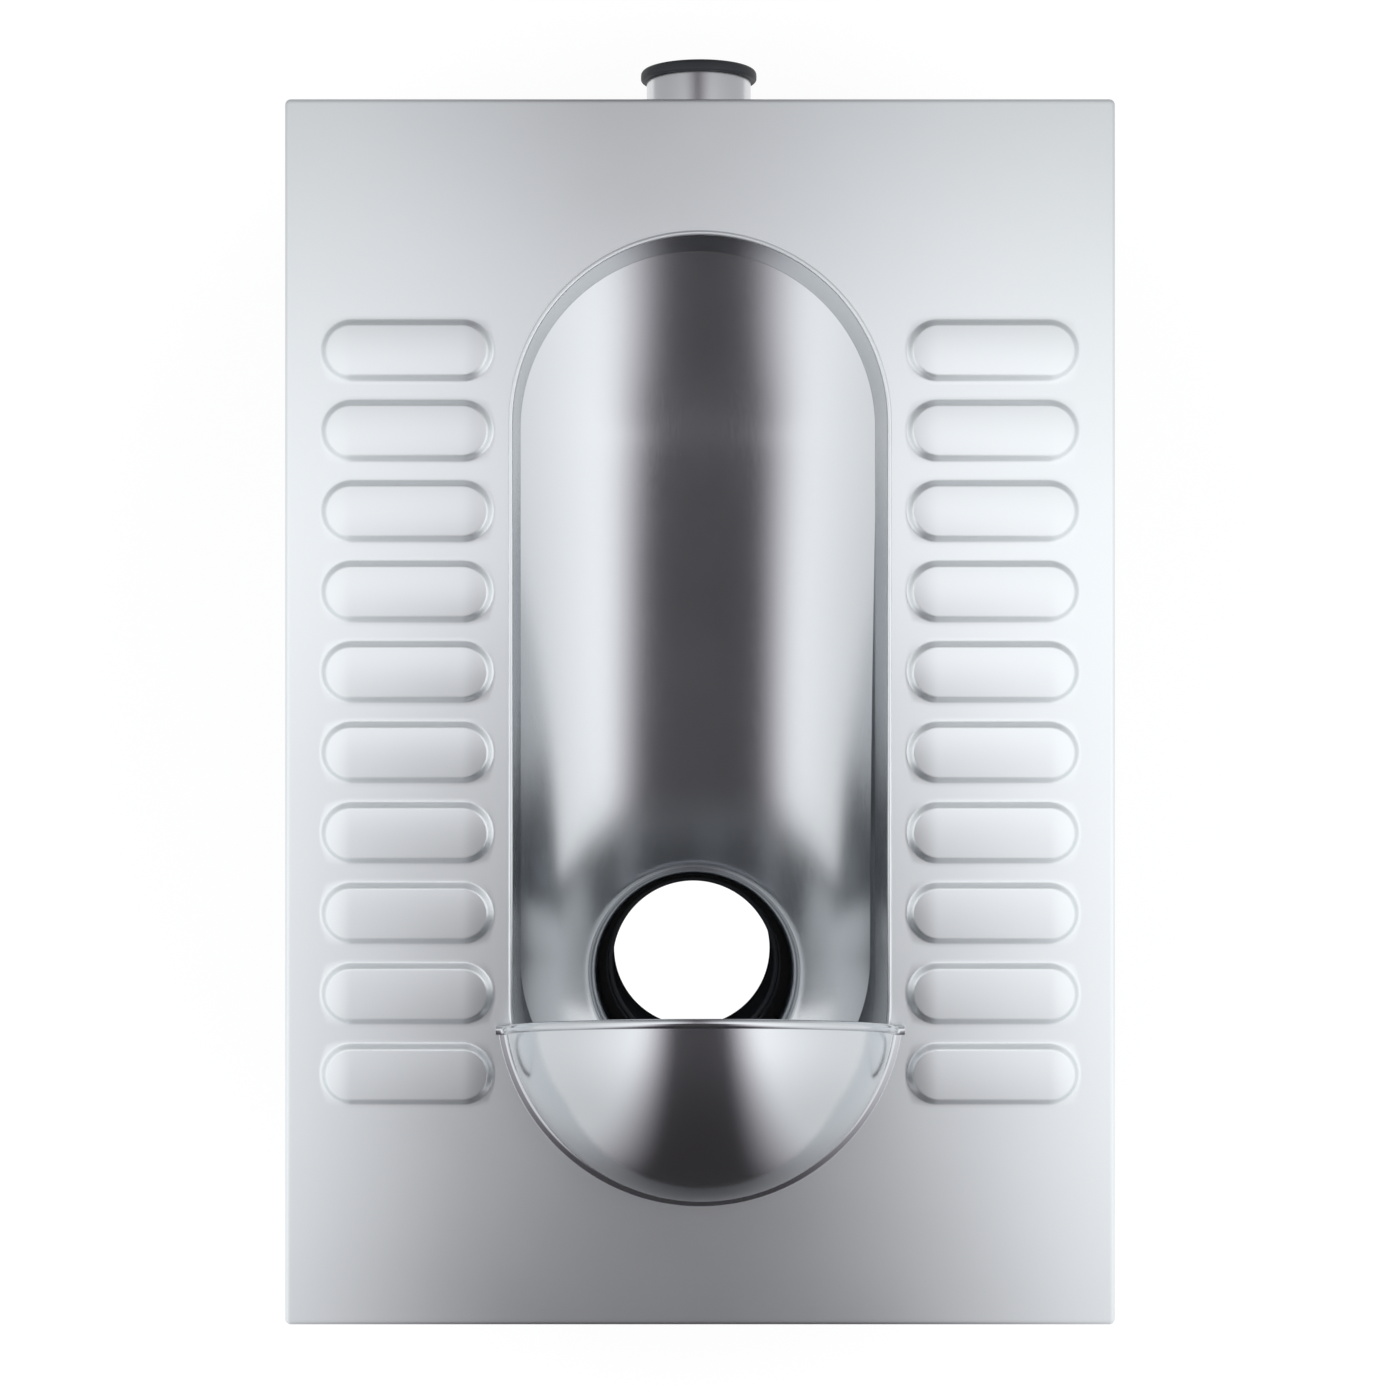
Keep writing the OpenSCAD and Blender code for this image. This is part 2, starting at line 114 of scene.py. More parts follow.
class PanTrough(bpy.types.PropertyGroup):
    """The trough: its rim, curtain, flush channel and bowl."""

    width: length("Width", 189, "Clear width of the opening")
    end_margin: length("End margin", 69, "From the deck's ends to the opening")
    bead: length("Bead", 2.4, "Width of the raised bead round the opening")
    curtain: length("Curtain", 52, "Drop of the curtain below the deck")
    lean: length("Lean", 0.8, "Lean of the curtain at its foot")
    floor_rear: length("Rear floor", 100, "Depth of the floor below the deck at the rear")
    floor_front: length("Front floor", 149, "Depth of the floor below the deck at the front")
    flare: length("Flare", 14, "Width of the flare round the mouth")
    wall_rear: length("Rear wall", 14, "Depth of the bowl's upright wall at the rear")
    wall_front: length("Front wall", 58, "Depth of the bowl's upright wall at the front")
    rear_power: number("Rear power", 2.2, "Flatness of the floor's section at the rear")
    front_power: number("Front power", 2.6, "Flatness of the floor's section at the front")
    ease: number("Ease", 1.5, "How long the floor stays level at the front: 1 is least")
    channel: length("Channel", 10.3, "Width of the flush channel")
    slot: length("Slot", 9, "Height of the slot under the curtain")
    slot_set: length("Slot set-back", 3, "From the curtain's foot to the channel's inner edge")
    flange: length("Flange", 12, "Width of the channel's top flange")


class PanFittings(bpy.types.PropertyGroup):
    """The inlet and outlet tubes and their rubber rings."""

    inlet_diameter: length("Inlet", 54, "Outside diameter of the inlet tube")
    inlet_wall: length("Inlet wall", 1.5, "Wall of the inlet tube")
    inlet_out: length("Inlet length", 15, "How far the tube stands out of the deck's edge")
    collar_reach: length("Collar reach", 3, "Collar's flange past the tube")
    collar: length("Collar", 5.6, "Thickness of the collar's flange")
    sleeve_wall: length("Sleeve wall", 3.4, "Wall of the collar's sleeve")
    sleeve: length("Sleeve", 22, "Length of the collar's sleeve")
    outlet_diameter: length("Outlet", 100, "Inside diameter of the outlet tube")
    outlet_wall: length("Outlet wall", 2, "Wall of the outlet tube")
    outlet_length: length("Outlet length", 38, "Outlet tube below the bowl's mouth")
    seal_wall: length("Seal wall", 2.9, "Wall of the seal round the tube")
    seal_sleeve: length("Seal sleeve", 26, "Length of the seal up the tube")
    lip: length("Lip", 10, "Thickness of the seal under the tube")
    lining: length("Lining", 3, "Seal's lining inside the tube")
    lining_gap: length("Lining gap", 2, "From the lining's top to the bowl's mouth")
    grooves: IntProperty(name="Grooves", description="Grooves round the seal", default=3)
    groove_width: length("Groove width", 2.4, "Width of a groove")
    groove_depth: length("Groove depth", 1.3, "Depth of a groove")
    push_gap: length("Push gap", 0.1, "Clearance of rings that are pushed on or in")


class PanHood(bpy.types.PropertyGroup):
    """The splash hood over the trough's front end."""

    height: length("Height", 92, "Hood above the deck")
    setback: length("Setback", 14.5, "From the front arc's centre forwards to the arch's feet")
    overhang: length("Overhang", 8.6, "From the front arc's centre rearwards to the crown")
    flange: length("Flange", 4.4, "Width of the foot flange")
    roll: length("Roll", 4.5, "Diameter of the arch's rolled edge")
    gap: length("Gap", 0.5, "Clearance between the bead and the hood")


class PanBars(bpy.types.PropertyGroup):
    """The stiffener bars under the deck."""

    width: length("Bar width", 60, "Bar over its flanges")
    web: length("Web", 38, "Bar's web")
    height: length("Bar height", 22, "Bar's height")
    end: length("Bar end", 55, "From the deck's ends to the bars")


class PanFinish(bpy.types.PropertyGroup):
    """Colours of the finishes, of the stage, and of the painted shade on the floor inside the
    outlet.
    """

    satin: colour("Satin steel", "#E6EAEC", "Pressed deck")
    polished: colour("Polished steel", "#C8CBCE", "Bowl, curtain and hood")
    tube: colour("Tube steel", "#D4D5D8", "Inlet and outlet tubes")
    mill: colour("Mill steel", "#B4B6B8", "Hidden sheet under the deck")
    rubber: colour("Rubber", "#1E2227", "Collar and seal")
    floor: colour("Floor", "#F6F7F8", "Studio floor")
    # Painted shade: a dark colour on the floor inside the outlet, for the shade there, as the
    # steel reflects it
    painted_shade: colour("Painted shade", "#202020", "Drain under the outlet, as the steel reflects it")
    cloth: colour("Tent cloth", "#FDFEFF", "Lit cloth of the light tent")
    gap: colour("Tent gap", "#FFF6FF", "Unlit gap of the light tent")


class PanStage(bpy.types.PropertyGroup):
    """Camera, floor and light tent."""

    nadir_x: length("Camera X", -25.3, "Camera's place across the pan")
    nadir_y: length("Camera Y", 234.8, "Camera's place along the pan")
    distance: length("Camera height", 1100, "Camera above the deck's top")
    lens: number("Lens", 55.98, "Focal length, in mm")
    shift_x: number("Shift X", 0.0357, "Camera shift across")
    shift_y: number("Shift Y", -0.10, "Camera shift along")
    floor_reach: length("Floor", 6000, "Half the floor's width")
    floor_glow: number("Floor glow", 1.05, "The floor to the camera, where 1 is white")
    floor_lit: number("Lit floor", 0.15, "Share of the floor's own light and shadow")
    tent: length("Tent", 600, "Radius of the light tent, from the deck's middle")
    top_light: number("Top light", 2.05, "Glow of the tent beside its gap")
    left_light: number("Left light", 0.95, "Glow of its left side at the deck's level")
    right_light: number("Right light", 1.02, "Glow of its right side at the deck's level")
    gap_light: number("Gap light", 0.085, "Glow of the gap over the pan")
    rear_light: number("Rear light", 0.3, "Share of the glow left at the rear")
    front_light: number("Front light", 0.55, "Share of the glow left at the front")
    gap_inner: number("Gap", 0.18, "Half the gap's width in front, over the tent's radius")
    gap_outer: number("Gap's edge", 0.54, "The same with the gap's soft edge")
    rear_inner: number("Rear gap", -0.12, "Half the gap's width behind, below 0 when closed")
    rear_outer: number("Rear gap's edge", 0.38, "The same with the gap's soft edge")
    gap_left: number("Gap's place", 0.035, "How far left of the middle the gap lies")
    gap_turn: number("Gap's turn", 0.03, "How far right it runs on its way to the front")


# ---- Numbers worked out from the sizes


def plan(scene):
    """Places and radii that several pieces share, named as in the part's source."""
    deck, trough, fit = scene.pan_deck, scene.pan_trough, scene.pan_fittings
    middle = (DECK_LOW.y + DECK_HIGH.y) / 2
    half_spine = (deck.length - trough.width) / 2 - trough.end_margin
    rear_edge = middle + deck.length / 2
    opening_r = trough.width / 2
    foot_r = opening_r + deck.sheet - trough.lean
    channel_r = opening_r + deck.sheet + trough.channel
    under = deck.height - deck.sheet
    channel_floor = deck.height - trough.curtain - trough.slot
    return {
        "deck_y": middle,
        "rear_y": middle + half_spine,
        "front_y": middle - half_spine,
        "rear_edge": rear_edge,
        "opening_r": opening_r,
        "bead_r": opening_r + trough.bead,
        "hole_r": opening_r + deck.sheet + RIM_GAP,
        "foot_r": foot_r,
        "channel_r": channel_r,
        "trough_r": foot_r + trough.slot_set,
        "flange_r": channel_r + trough.flange,
        "under": under,
        "channel_floor": channel_floor,
        "bowl_top": channel_floor - deck.sheet,
        "mouth_z": fit.lip + fit.outlet_length,
        "mouth_r": fit.outlet_diameter / 2,
        "inlet_r": fit.inlet_diameter / 2,
        "inlet_z": (under + channel_floor) / 2,
        "tube_end": rear_edge + fit.inlet_out,
    }


# ---- Surfaces as arrays of points


def ramp(start, end, count):
    """Evenly spaced numbers from start to end, both included."""
    return np.linspace(start, end, count)


def smooth_ramp(t):
    """Half a cosine wave: 0 below 0, 1 above 1 and S-shaped between."""
    return (1 - np.cos(np.pi * np.clip(t, 0, 1))) / 2


def rounded(corners, radii, steps=6):
    """Closed outline whose corners are rounded. At each corner the arc's centre lies on the
    bisector, at the radius over the sine of half the angle, and the arc is swept by slerp
    between the directions to its two tangent points."""
    p = np.asarray(corners, float)
    r = np.broadcast_to(np.asarray(radii, float), len(p))[:, None]
    to_last = np.roll(p, 1, axis=0) - p
    to_next = np.roll(p, -1, axis=0) - p
    u = to_last / np.linalg.norm(to_last, axis=1, keepdims=True)
    v = to_next / np.linalg.norm(to_next, axis=1, keepdims=True)
    half = np.arccos(np.clip((u * v).sum(1, keepdims=True), -1, 1)) / 2
    bisector = (u + v) / np.maximum(np.linalg.norm(u + v, axis=1, keepdims=True), 1e-12)
    centre = p + bisector * r / np.sin(half)
    tangent = r / np.tan(half)
    first, last = p + u * tangent - centre, p + v * tangent - centre
    turn = np.maximum(np.pi - 2 * half, 1e-6)[:, None]
    s = ramp(0, 1, steps)[None, :, None]
    arc = (np.sin((1 - s) * turn) * first[:, None] + np.sin(s * turn) * last[:, None])
    return (centre[:, None] + arc / np.sin(turn)).reshape(-1, 2)


def grid_faces(rows, cols, wrap_rows=False, wrap_cols=False):
    """Quads that join each point of a grid to its neighbours."""
    i = np.arange(rows if wrap_rows else rows - 1)[:, None]
    j = np.arange(cols if wrap_cols else cols - 1)[None, :]
    i2, j2 = (i + 1) % rows, (j + 1) % cols
    return np.stack([i * cols + j, i * cols + j2, i2 * cols + j2, i2 * cols + j], -1)


def sheet_grid(points, wrap_rows=False, wrap_cols=False):
    """Points and quads of a grid of shape (rows, columns, 3)."""
    faces = grid_faces(points.shape[0], points.shape[1], wrap_rows, wrap_cols)
    return points.reshape(-1, 3), faces.reshape(-1, 4)


def capped(rows):
    """Rows of points, closed by the middle of the first row and of the last."""
    ends = [np.broadcast_to(row.mean(0), (1, *row.shape)) for row in (rows[0], rows[-1])]
    return np.concatenate([ends[0], rows, ends[1]])


def join(*parts):
    """One list of points and faces from several."""
    offsets = np.cumsum([0] + [len(points) for points, _ in parts[:-1]])
    points = np.concatenate([points for points, _ in parts])
    faces = np.concatenate([faces + offset for (_, faces), offset in zip(parts, offsets)])
    return points, faces


def trough_path(p, arc_steps=96, run_steps=48):
    """Closed path round the trough: its spine's nearest point and the direction outwards."""
    arc = ramp(0, np.pi, arc_steps + 1)
    run = ramp(0, 1, run_steps + 1)[1:-1]
    spine_y = np.concatenate([
        np.full(arc_steps + 1, p["rear_y"]),
        p["rear_y"] + (p["front_y"] - p["rear_y"]) * run,
        np.full(arc_steps + 1, p["front_y"]),
        p["front_y"] + (p["rear_y"] - p["front_y"]) * run])
    turn = np.concatenate([
        arc, np.full(len(run), np.pi), arc + np.pi, np.full(len(run), 2 * np.pi)])
    return spine_y, np.cos(turn), np.sin(turn)


def carry_round_trough(p, profile, **steps):
    """Profile of radii and heights carried round the trough: the point at radius r lies r
    outwards of the spine."""
    spine_y, out_x, out_y = trough_path(p, **steps)
    r, z = profile[:, 0], profile[:, 1]
    points = np.stack([
        out_x[:, None] * r, spine_y[:, None] + out_y[:, None] * r,
        np.broadcast_to(z, (len(spine_y), len(z)))], -1)
    return sheet_grid(points, True, True)


def lathe(profile, steps=144):
    """Closed profile of radii and heights turned about Z."""
    a = ramp(0, 2 * np.pi, steps + 1)[:-1, None]
    r, z = profile[:, 0], profile[:, 1]
    points = np.stack([np.cos(a) * r, np.sin(a) * r, np.broadcast_to(z, (steps, len(z)))], -1)
    return sheet_grid(points, True, True)


def prism(starts, ends):
    """Straight bar between an outline's points at one end and at the other. The caps are
    fans about the ends' centres."""
    count = len(starts)
    points = np.concatenate([starts, ends, [starts.mean(0)], [ends.mean(0)]])
    i = np.arange(count)
    j = (i + 1) % count
    sides = np.stack([i, j, j + count, i + count], -1)
    low = np.stack([i, j, np.full(count, 2 * count), np.full(count, 2 * count)], -1)
    high = np.stack([i + count, j + count, np.full(count, 2 * count + 1),
                     np.full(count, 2 * count + 1)], -1)
    return points, np.concatenate([sides, low, high])


# ---- Pieces


def build_mesh(name, points, faces):
    """Mesh from arrays. Quads whose last two corners are the same become triangles."""
    mesh = bpy.data.meshes.new(name)
    triangle = faces[:, 2] == faces[:, 3]
    sizes = np.where(triangle, 3, 4)
    keep = np.ones(faces.shape, bool)
    keep[triangle, 3] = False
    mesh.vertices.add(len(points))
    mesh.vertices.foreach_set("co", np.ascontiguousarray(points, np.float32).ravel())
    mesh.loops.add(int(sizes.sum()))
    mesh.loops.foreach_set("vertex_index", faces[keep].astype(np.int32))
    mesh.polygons.add(len(faces))
    starts = np.concatenate([[0], np.cumsum(sizes)[:-1]])
    mesh.polygons.foreach_set("loop_start", starts.astype(np.int32))
    mesh.update(calc_edges=True)
    return mesh


def clean(mesh, merge=2e-6):
    """Merges doubled points, drops empty faces and turns every face outwards."""
    bm = bmesh.new()
    bm.from_mesh(mesh)
    bmesh.ops.remove_doubles(bm, verts=bm.verts, dist=merge)
    bmesh.ops.dissolve_degenerate(bm, edges=bm.edges, dist=merge)
    bmesh.ops.recalc_face_normals(bm, faces=bm.faces)
    bm.to_mesh(mesh)
    bm.free()


def add_piece(name, surface, slot, nodes, crease=math.radians(35), finish=None):
    """Object at the origin that rides on the pan's body and stands for CAD nodes. Edges that
    turn more than the crease angle stay sharp. finish(object) may add modifiers first."""
    mesh = build_mesh(name, *surface)
    clean(mesh)
    piece = bpy.data.objects.new(name, mesh)
    bpy.context.scene.collection.objects.link(piece)
    if finish:
        finish(piece)
        settle(piece)
    piece.data.materials.clear()
    piece.data.materials.append(finish_for(slot))
    piece.data.polygons.foreach_set("use_smooth", np.ones(len(piece.data.polygons), bool))
    piece.data.set_sharp_from_angle(angle=crease)
    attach(piece, BODY)
    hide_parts(*nodes)


def settle(piece):
    """Puts the result of the piece's modifiers into its mesh."""
    bpy.context.view_layer.update()
    graph = bpy.context.evaluated_depsgraph_get()
    done = bpy.data.meshes.new_from_object(piece.evaluated_get(graph))
    piece.modifiers.clear()
    piece.data = done


def thicken(thickness):
    """Finish that gives a surface its sheet's thickness, on its inner side."""
    def finish(piece):
        wall = piece.modifiers.new("wall", "SOLIDIFY")
        wall.thickness = thickness
        wall.offset = -1
        wall.use_even_offset = True
        wall.use_rim = True
    return finish


# ---- Materials


def linear(hex_colour, shade=1.0):
    """Linear colour, with alpha, from an sRGB hex value, times a shade."""
    raw = np.array([int(hex_colour[i:i + 2], 16) for i in (1, 3, 5)]) / 255
    value = np.where(raw <= 0.04045, raw / 12.92, ((raw + 0.055) / 1.055) ** 2.4)
    return (*(value * shade).tolist(), 1.0)


def add_node(tree, kind, inputs=None, **settings):
    """Adds a node with its settings. An input is a value, an output socket to link, or a
    node whose first output is linked."""
    node = tree.nodes.new("ShaderNode" + kind)
    for key, value in settings.items():
        setattr(node, key, value)
    for key, value in (inputs or {}).items():
        if isinstance(value, bpy.types.Node):
            value = value.outputs[0]
        if isinstance(value, bpy.types.NodeSocket):
            tree.links.new(value, node.inputs[key])
        else:
            node.inputs[key].default_value = value
    return node


def new_material(name):
    """Empty node material."""
    material = bpy.data.materials.new(name)
    material.use_nodes = True
    material.node_tree.nodes.clear()
    return material


def pattern(tree, size, stretch=(1, 1, 1), detail=2.0, roughness=0.5):
    """Noise on Object coordinates. size is that of its marks across, in metres, and stretch
    draws them out along an axis."""
    place = add_node(tree, "TexCoord").outputs["Object"]
    place = add_node(tree, "Mapping", {"Vector": place, "Scale": stretch})
    return add_node(tree, "TexNoise", {
        "Vector": place, "Scale": 1 / size, "Detail": detail, "Roughness": roughness})


def steel(name, hex_colour, rough, rough_spread, grain, stretch, grain_height,
          wave_size, wave_height):
    """Stainless steel. Its colour, roughness and a two-scale bump show the grain that the
    last working left and the slow waves of pressed sheet. Sizes are in metres. The real
    grain is about 0.05 mm wide, and is drawn coarser so that it shows."""
    cloud_size, cloud_shade = 0.11, 0.965    # faint clouds from handling the sheet
    material = new_material(name)
    tree = material.node_tree
    cloud = pattern(tree, cloud_size, detail=3)
    marks = pattern(tree, grain, stretch, detail=3, roughness=0.6)
    waves = pattern(tree, wave_size, detail=1)
    share = add_node(tree, "MapRange", {"Value": cloud, "From Min": 0.3, "From Max": 0.7})
    tone = add_node(tree, "Mix", {0: share, 6: linear(hex_colour, cloud_shade),
                                  7: linear(hex_colour)}, data_type="RGBA")
    both = add_node(tree, "Math", {0: marks, 1: cloud}, operation="ADD")
    rubbed = add_node(tree, "MapRange", {
        "Value": both, "From Min": 0.7, "From Max": 1.3,
        "To Min": rough - rough_spread, "To Max": rough + rough_spread})
    grained = add_node(tree, "Bump", {
        "Height": marks, "Distance": grain_height, "Strength": 1.0})
    waved = add_node(tree, "Bump", {
        "Height": waves, "Distance": wave_height, "Strength": 1.0, "Normal": grained})
    shader = add_node(tree, "BsdfPrincipled", {
        "Base Color": tone.outputs[2], "Metallic": 1.0, "Roughness": rubbed,
        "Normal": waved})
    add_node(tree, "OutputMaterial", {"Surface": shader})
    return material


def satin_steel(name, finish):
    """Pressed stainless sheet with a satin finish from fine abrasive: soft, blurred
    reflections with slow waves from the press."""
    return steel(name, finish.satin, 0.42, 0.02, grain=0.0007, stretch=(1, 1, 1),
                 grain_height=0.000003, wave_size=0.09, wave_height=0.00008)


def polished_steel(name, finish):
    """Stainless sheet, drawn and then polished along the trough: clear but soft-edged
    reflections with faint lengthwise marks."""
    return steel(name, finish.polished, 0.17, 0.02, grain=0.0009, stretch=(1, 0.06, 1),
                 grain_height=0.0000015, wave_size=0.05, wave_height=0.00002)


def tube_steel(name, finish):
    """Welded stainless tube, drawn: bright, with fine marks along it."""
    return steel(name, finish.tube, 0.24, 0.03, grain=0.0008, stretch=(1, 0.08, 1),
                 grain_height=0.000002, wave_size=0.04, wave_height=0.00001)


def mill_steel(name, finish):
    """Cold-rolled stainless sheet as it leaves the mill: dull grey, unpolished."""
    return steel(name, finish.mill, 0.5, 0.05, grain=0.0012, stretch=(1, 0.2, 1),
                 grain_height=0.000006, wave_size=0.06, wave_height=0.00005)


def moulded_rubber(name, finish):
    """Black nitrile rubber, compression moulded: matt, with a dusty bloom in blotches of
    12 mm and a pebbled skin, drawn at 0.9 mm so that it shows."""
    bloom_size, bloom_shade = 0.012, 1.5
    pebble_size, pebble_height = 0.0009, 0.00003
    material = new_material(name)
    tree = material.node_tree
    bloom = pattern(tree, bloom_size, detail=4)
    pebble = pattern(tree, pebble_size, detail=2)
    share = add_node(tree, "MapRange", {"Value": bloom, "From Min": 0.3, "From Max": 0.7})
    tone = add_node(tree, "Mix", {0: share, 6: linear(finish.rubber),
                                  7: linear(finish.rubber, bloom_shade)}, data_type="RGBA")
    dusty = add_node(tree, "MapRange", {
        "Value": bloom, "From Min": 0.3, "From Max": 0.7, "To Min": 0.5, "To Max": 0.68})
    skin = add_node(tree, "Bump", {
        "Height": pebble, "Distance": pebble_height, "Strength": 1.0})
    shader = add_node(tree, "BsdfPrincipled", {
        "Base Color": tone.outputs[2], "Roughness": dusty, "IOR": 1.52, "Normal": skin})
    add_node(tree, "OutputMaterial", {"Surface": shader})
    return material


FINISHES = {
    "deck_steel": ("satin_pressed_steel", satin_steel),
    "bright_steel": ("polished_drawn_steel", polished_steel),
    "tube_steel": ("drawn_tube_steel", tube_steel),
    "under_steel": ("mill_finish_steel", mill_steel),
    "rubber": ("moulded_black_rubber", moulded_rubber),
}


def finish_for(slot):
    """The material of a slot, made once."""
    name, make = FINISHES[slot]
    return bpy.data.materials.get(name) or make(name, bpy.context.scene.pan_finish)


# ---- Deck


def even_turns(away, reach, steps):
    """Distances along a line, from 0 to reach, that even turns about a point off it mark."""
    return away * np.tan(ramp(0, math.atan(reach / away), steps))


def perimeter(xs, ys):
    """Points round the rectangle of some grid lines, anticlockwise."""
    return np.concatenate([
        np.stack([np.full(len(ys) - 1, xs[-1]), ys[:-1]], -1),
        np.stack([xs[:0:-1], np.full(len(xs) - 1, ys[-1])], -1),
        np.stack([np.full(len(ys) - 1, xs[0]), ys[:0:-1]], -1),
        np.stack([xs[:-1], np.full(len(xs) - 1, ys[0])], -1)])


def rings(border, low, high, shares, radii, heights):
    """Rows of points from a border in to a spine, whose ends are low and high. Each row lies
    on the lines from the border to the nearest points of the spine: the first rows are
    shares of the way to the first radius, the others are at the radii."""
    nearest = np.clip(border, low, high)
    out = border - nearest
    out /= np.linalg.norm(out, axis=1, keepdims=True)
    edge = nearest + out * radii[0]
    shares = np.asarray(shares)[:, None, None]
    xy = np.concatenate([border * (1 - shares) + edge * shares,
                         nearest + out * np.asarray(radii)[:, None, None]])
    z = np.concatenate([np.full(len(shares), heights[0]), heights])
    return np.concatenate([xy, np.broadcast_to(z[:, None, None], (*xy.shape[:2], 1))], -1)


def deck_lines(deck, p, notch_x):
    """Grid lines of the deck's top, and those of one tread's cell from its centre. A cell is
    as wide as the tread's pitch, and its lines are so spaced that they turn evenly round
    the tread's ends."""
    half_run = (deck.tread_length - deck.tread_width) / 2
    end_margin = 0.002
    end, half_cell = deck.tread_width / 2 + end_margin, deck.tread_pitch / 2
    tip = half_run + even_turns(half_cell, end, 8)
    cell_x = np.concatenate([-tip[::-1], ramp(-half_run, half_run, 6)[1:-1], tip])
    half_y = even_turns(end, half_cell, 9)
    cell_y = np.concatenate([-half_y[:0:-1], half_y])
    tread_x = p["bead_r"] + deck.tread_gap + deck.tread_length / 2
    rows = (np.arange(deck.treads) - (deck.treads - 1) / 2) * deck.tread_pitch
    edge_x, edge_y = deck.width / 2 - deck.corner, deck.length / 2 - deck.corner
    right = np.concatenate([
        ramp(notch_x, tread_x + cell_x[0], 10)[1:], tread_x + cell_x[1:],
        ramp(tread_x + cell_x[-1], edge_x, 4)[1:]])
    notch = notch_x * np.sin(ramp(-np.pi / 2, np.pi / 2, 25))
    xs = np.concatenate([-right[::-1], notch, right])
    treads = np.concatenate([(rows[:, None] + cell_y[:-1]).ravel(), [rows[-1] + half_cell]])
    ys = p["deck_y"] + np.concatenate([
        ramp(-edge_y, treads[0], 14)[:-1], treads, ramp(treads[-1], edge_y, 14)[1:]])
    return xs, ys, cell_x, cell_y, tread_x, rows + p["deck_y"]


def deck_top(scene, xs, ys, cell_x, cell_y, tread_x, rows):
    """Flat top with its treads: a grid of lines, less a block of cells round the trough and
    the two blocks of treads, which rings fill. A tread's shoulder is half a cosine wave."""
    deck, p = scene.pan_deck, plan(scene)
    gx, gy = np.meshgrid(xs, ys)
    top = np.stack([gx, gy, np.full(gx.shape, deck.height)], -1)
    faces = grid_faces(len(ys), len(xs))
    mid_x, mid_y = (xs[1:] + xs[:-1]) / 2, (ys[1:] + ys[:-1]) / 2
    half_row = deck.tread_pitch / 2
    in_rows = (mid_y > rows[0] - half_row) & (mid_y < rows[-1] + half_row)
    in_treads = np.abs(np.abs(mid_x) - tread_x) < cell_x[-1]
    block_x = tread_x + cell_x[0]
    block = (mid_y > p["front_y"] - block_x) & (mid_y < p["rear_y"] + block_x)
    hollow = (in_rows[:, None] & in_treads) | (block[:, None] & (np.abs(mid_x) < block_x))
    parts = [(top.reshape(-1, 3), faces[~hollow])]

    inside_x = xs[np.abs(xs) < block_x + SAME]
    first, last = np.where(block)[0][[0, -1]]
    border = perimeter(inside_x, ys[first:last + 2])
    hole = rings(border, [0, p["front_y"]], [0, p["rear_y"]], [0, 0.5], [p["hole_r"]],
                 [deck.height])
    parts.append(sheet_grid(hole, False, True))

    half_width, half_run = deck.tread_width / 2, (deck.tread_length - deck.tread_width) / 2
    share = ramp(0, 1, 9)
    radii = np.concatenate([half_width - deck.shoulder * share, [0]])
    heights = deck.height + deck.tread_height * np.concatenate([smooth_ramp(share), [1]])
    tread = rings(perimeter(cell_x, cell_y), [-half_run, 0], [half_run, 0], [0, 0.6],
                  radii, heights)
    for side in (-tread_x, tread_x):
        parts += [sheet_grid(tread + [side, row, 0], False, True) for row in rows]
    return join(*parts)


def deck_edge(scene, xs, ys, notch_r, notch_x):
    """Fold, skirt and return: a profile carried round the deck's edge, fanned out at the
    corners. Its fold and the bend to the return are quarter circles. The skirt stops at the
    notch's arch, where the inlet tube passes."""
    deck, p = scene.pan_deck, plan(scene)
    path = perimeter(xs, ys) - [0, p["deck_y"]]
    edge = np.abs([xs[-1], ys[-1] - p["deck_y"]])
    on_edge = np.abs(np.abs(path) - edge) < SAME
    corner = np.where(on_edge.all(1))[0]
    normal = np.where(on_edge, np.sign(path), 0)
    fan = ramp(-np.pi / 4, np.pi / 4, 7)
    repeat = np.ones(len(path), int)
    repeat[corner] = len(fan)
    first = (np.cumsum(repeat) - repeat)[corner]
    mitre = np.repeat(normal, repeat, axis=0)
    direction = mitre.copy()
    turn = np.arctan2(normal[corner, 1], normal[corner, 0])[:, None] + fan
    direction[first[:, None] + np.arange(len(fan))] = np.stack([np.cos(turn), np.sin(turn)], -1)
    path = np.repeat(path, repeat, axis=0)

    bend, rows = ramp(0, np.pi / 2, 7), 5
    reach = np.concatenate([
        [0], deck.corner - deck.fold * (1 - np.sin(bend)), np.full(rows - 1, deck.corner),
        deck.corner - RETURN_BEND * (1 - np.cos(bend[1:])),
        [deck.corner - deck.fold_return]])
    drop = np.concatenate([
        [0], deck.fold * (1 - np.cos(bend)),
        ramp(deck.fold, deck.skirt - RETURN_BEND, rows)[1:],
        deck.skirt - RETURN_BEND * (1 - np.sin(bend[1:])), [deck.skirt]])
    outward = np.where(reach[:, None, None] > 0, direction, mitre)
    xy = path + outward * reach[:, None, None] + [0, p["deck_y"]]
    z = np.broadcast_to(deck.height - drop[:, None], xy.shape[:2]).copy()

    rear = path[:, 1] > edge[1] - SAME
    under = rear & (np.abs(path[:, 0]) < notch_x - SAME)
    beside = rear & (np.abs(path[:, 0]) < notch_x + SAME)
    arch = p["inlet_z"] + np.sqrt(notch_r ** 2 - path[under, 0] ** 2)
    skirt = np.arange(len(bend), len(bend) + rows)
    skirt_top = deck.height - deck.fold
    z[np.ix_(skirt, under)] = skirt_top + (arch - skirt_top) * ramp(0, 1, rows)[:, None]
    faces = grid_faces(len(reach), len(path), False, True)
    keep = np.ones(faces.shape[:2], bool)
    keep[skirt[-1]:, beside & np.roll(beside, -1)] = False
    return np.concatenate([xy, z[..., None]], -1).reshape(-1, 3), faces[keep]


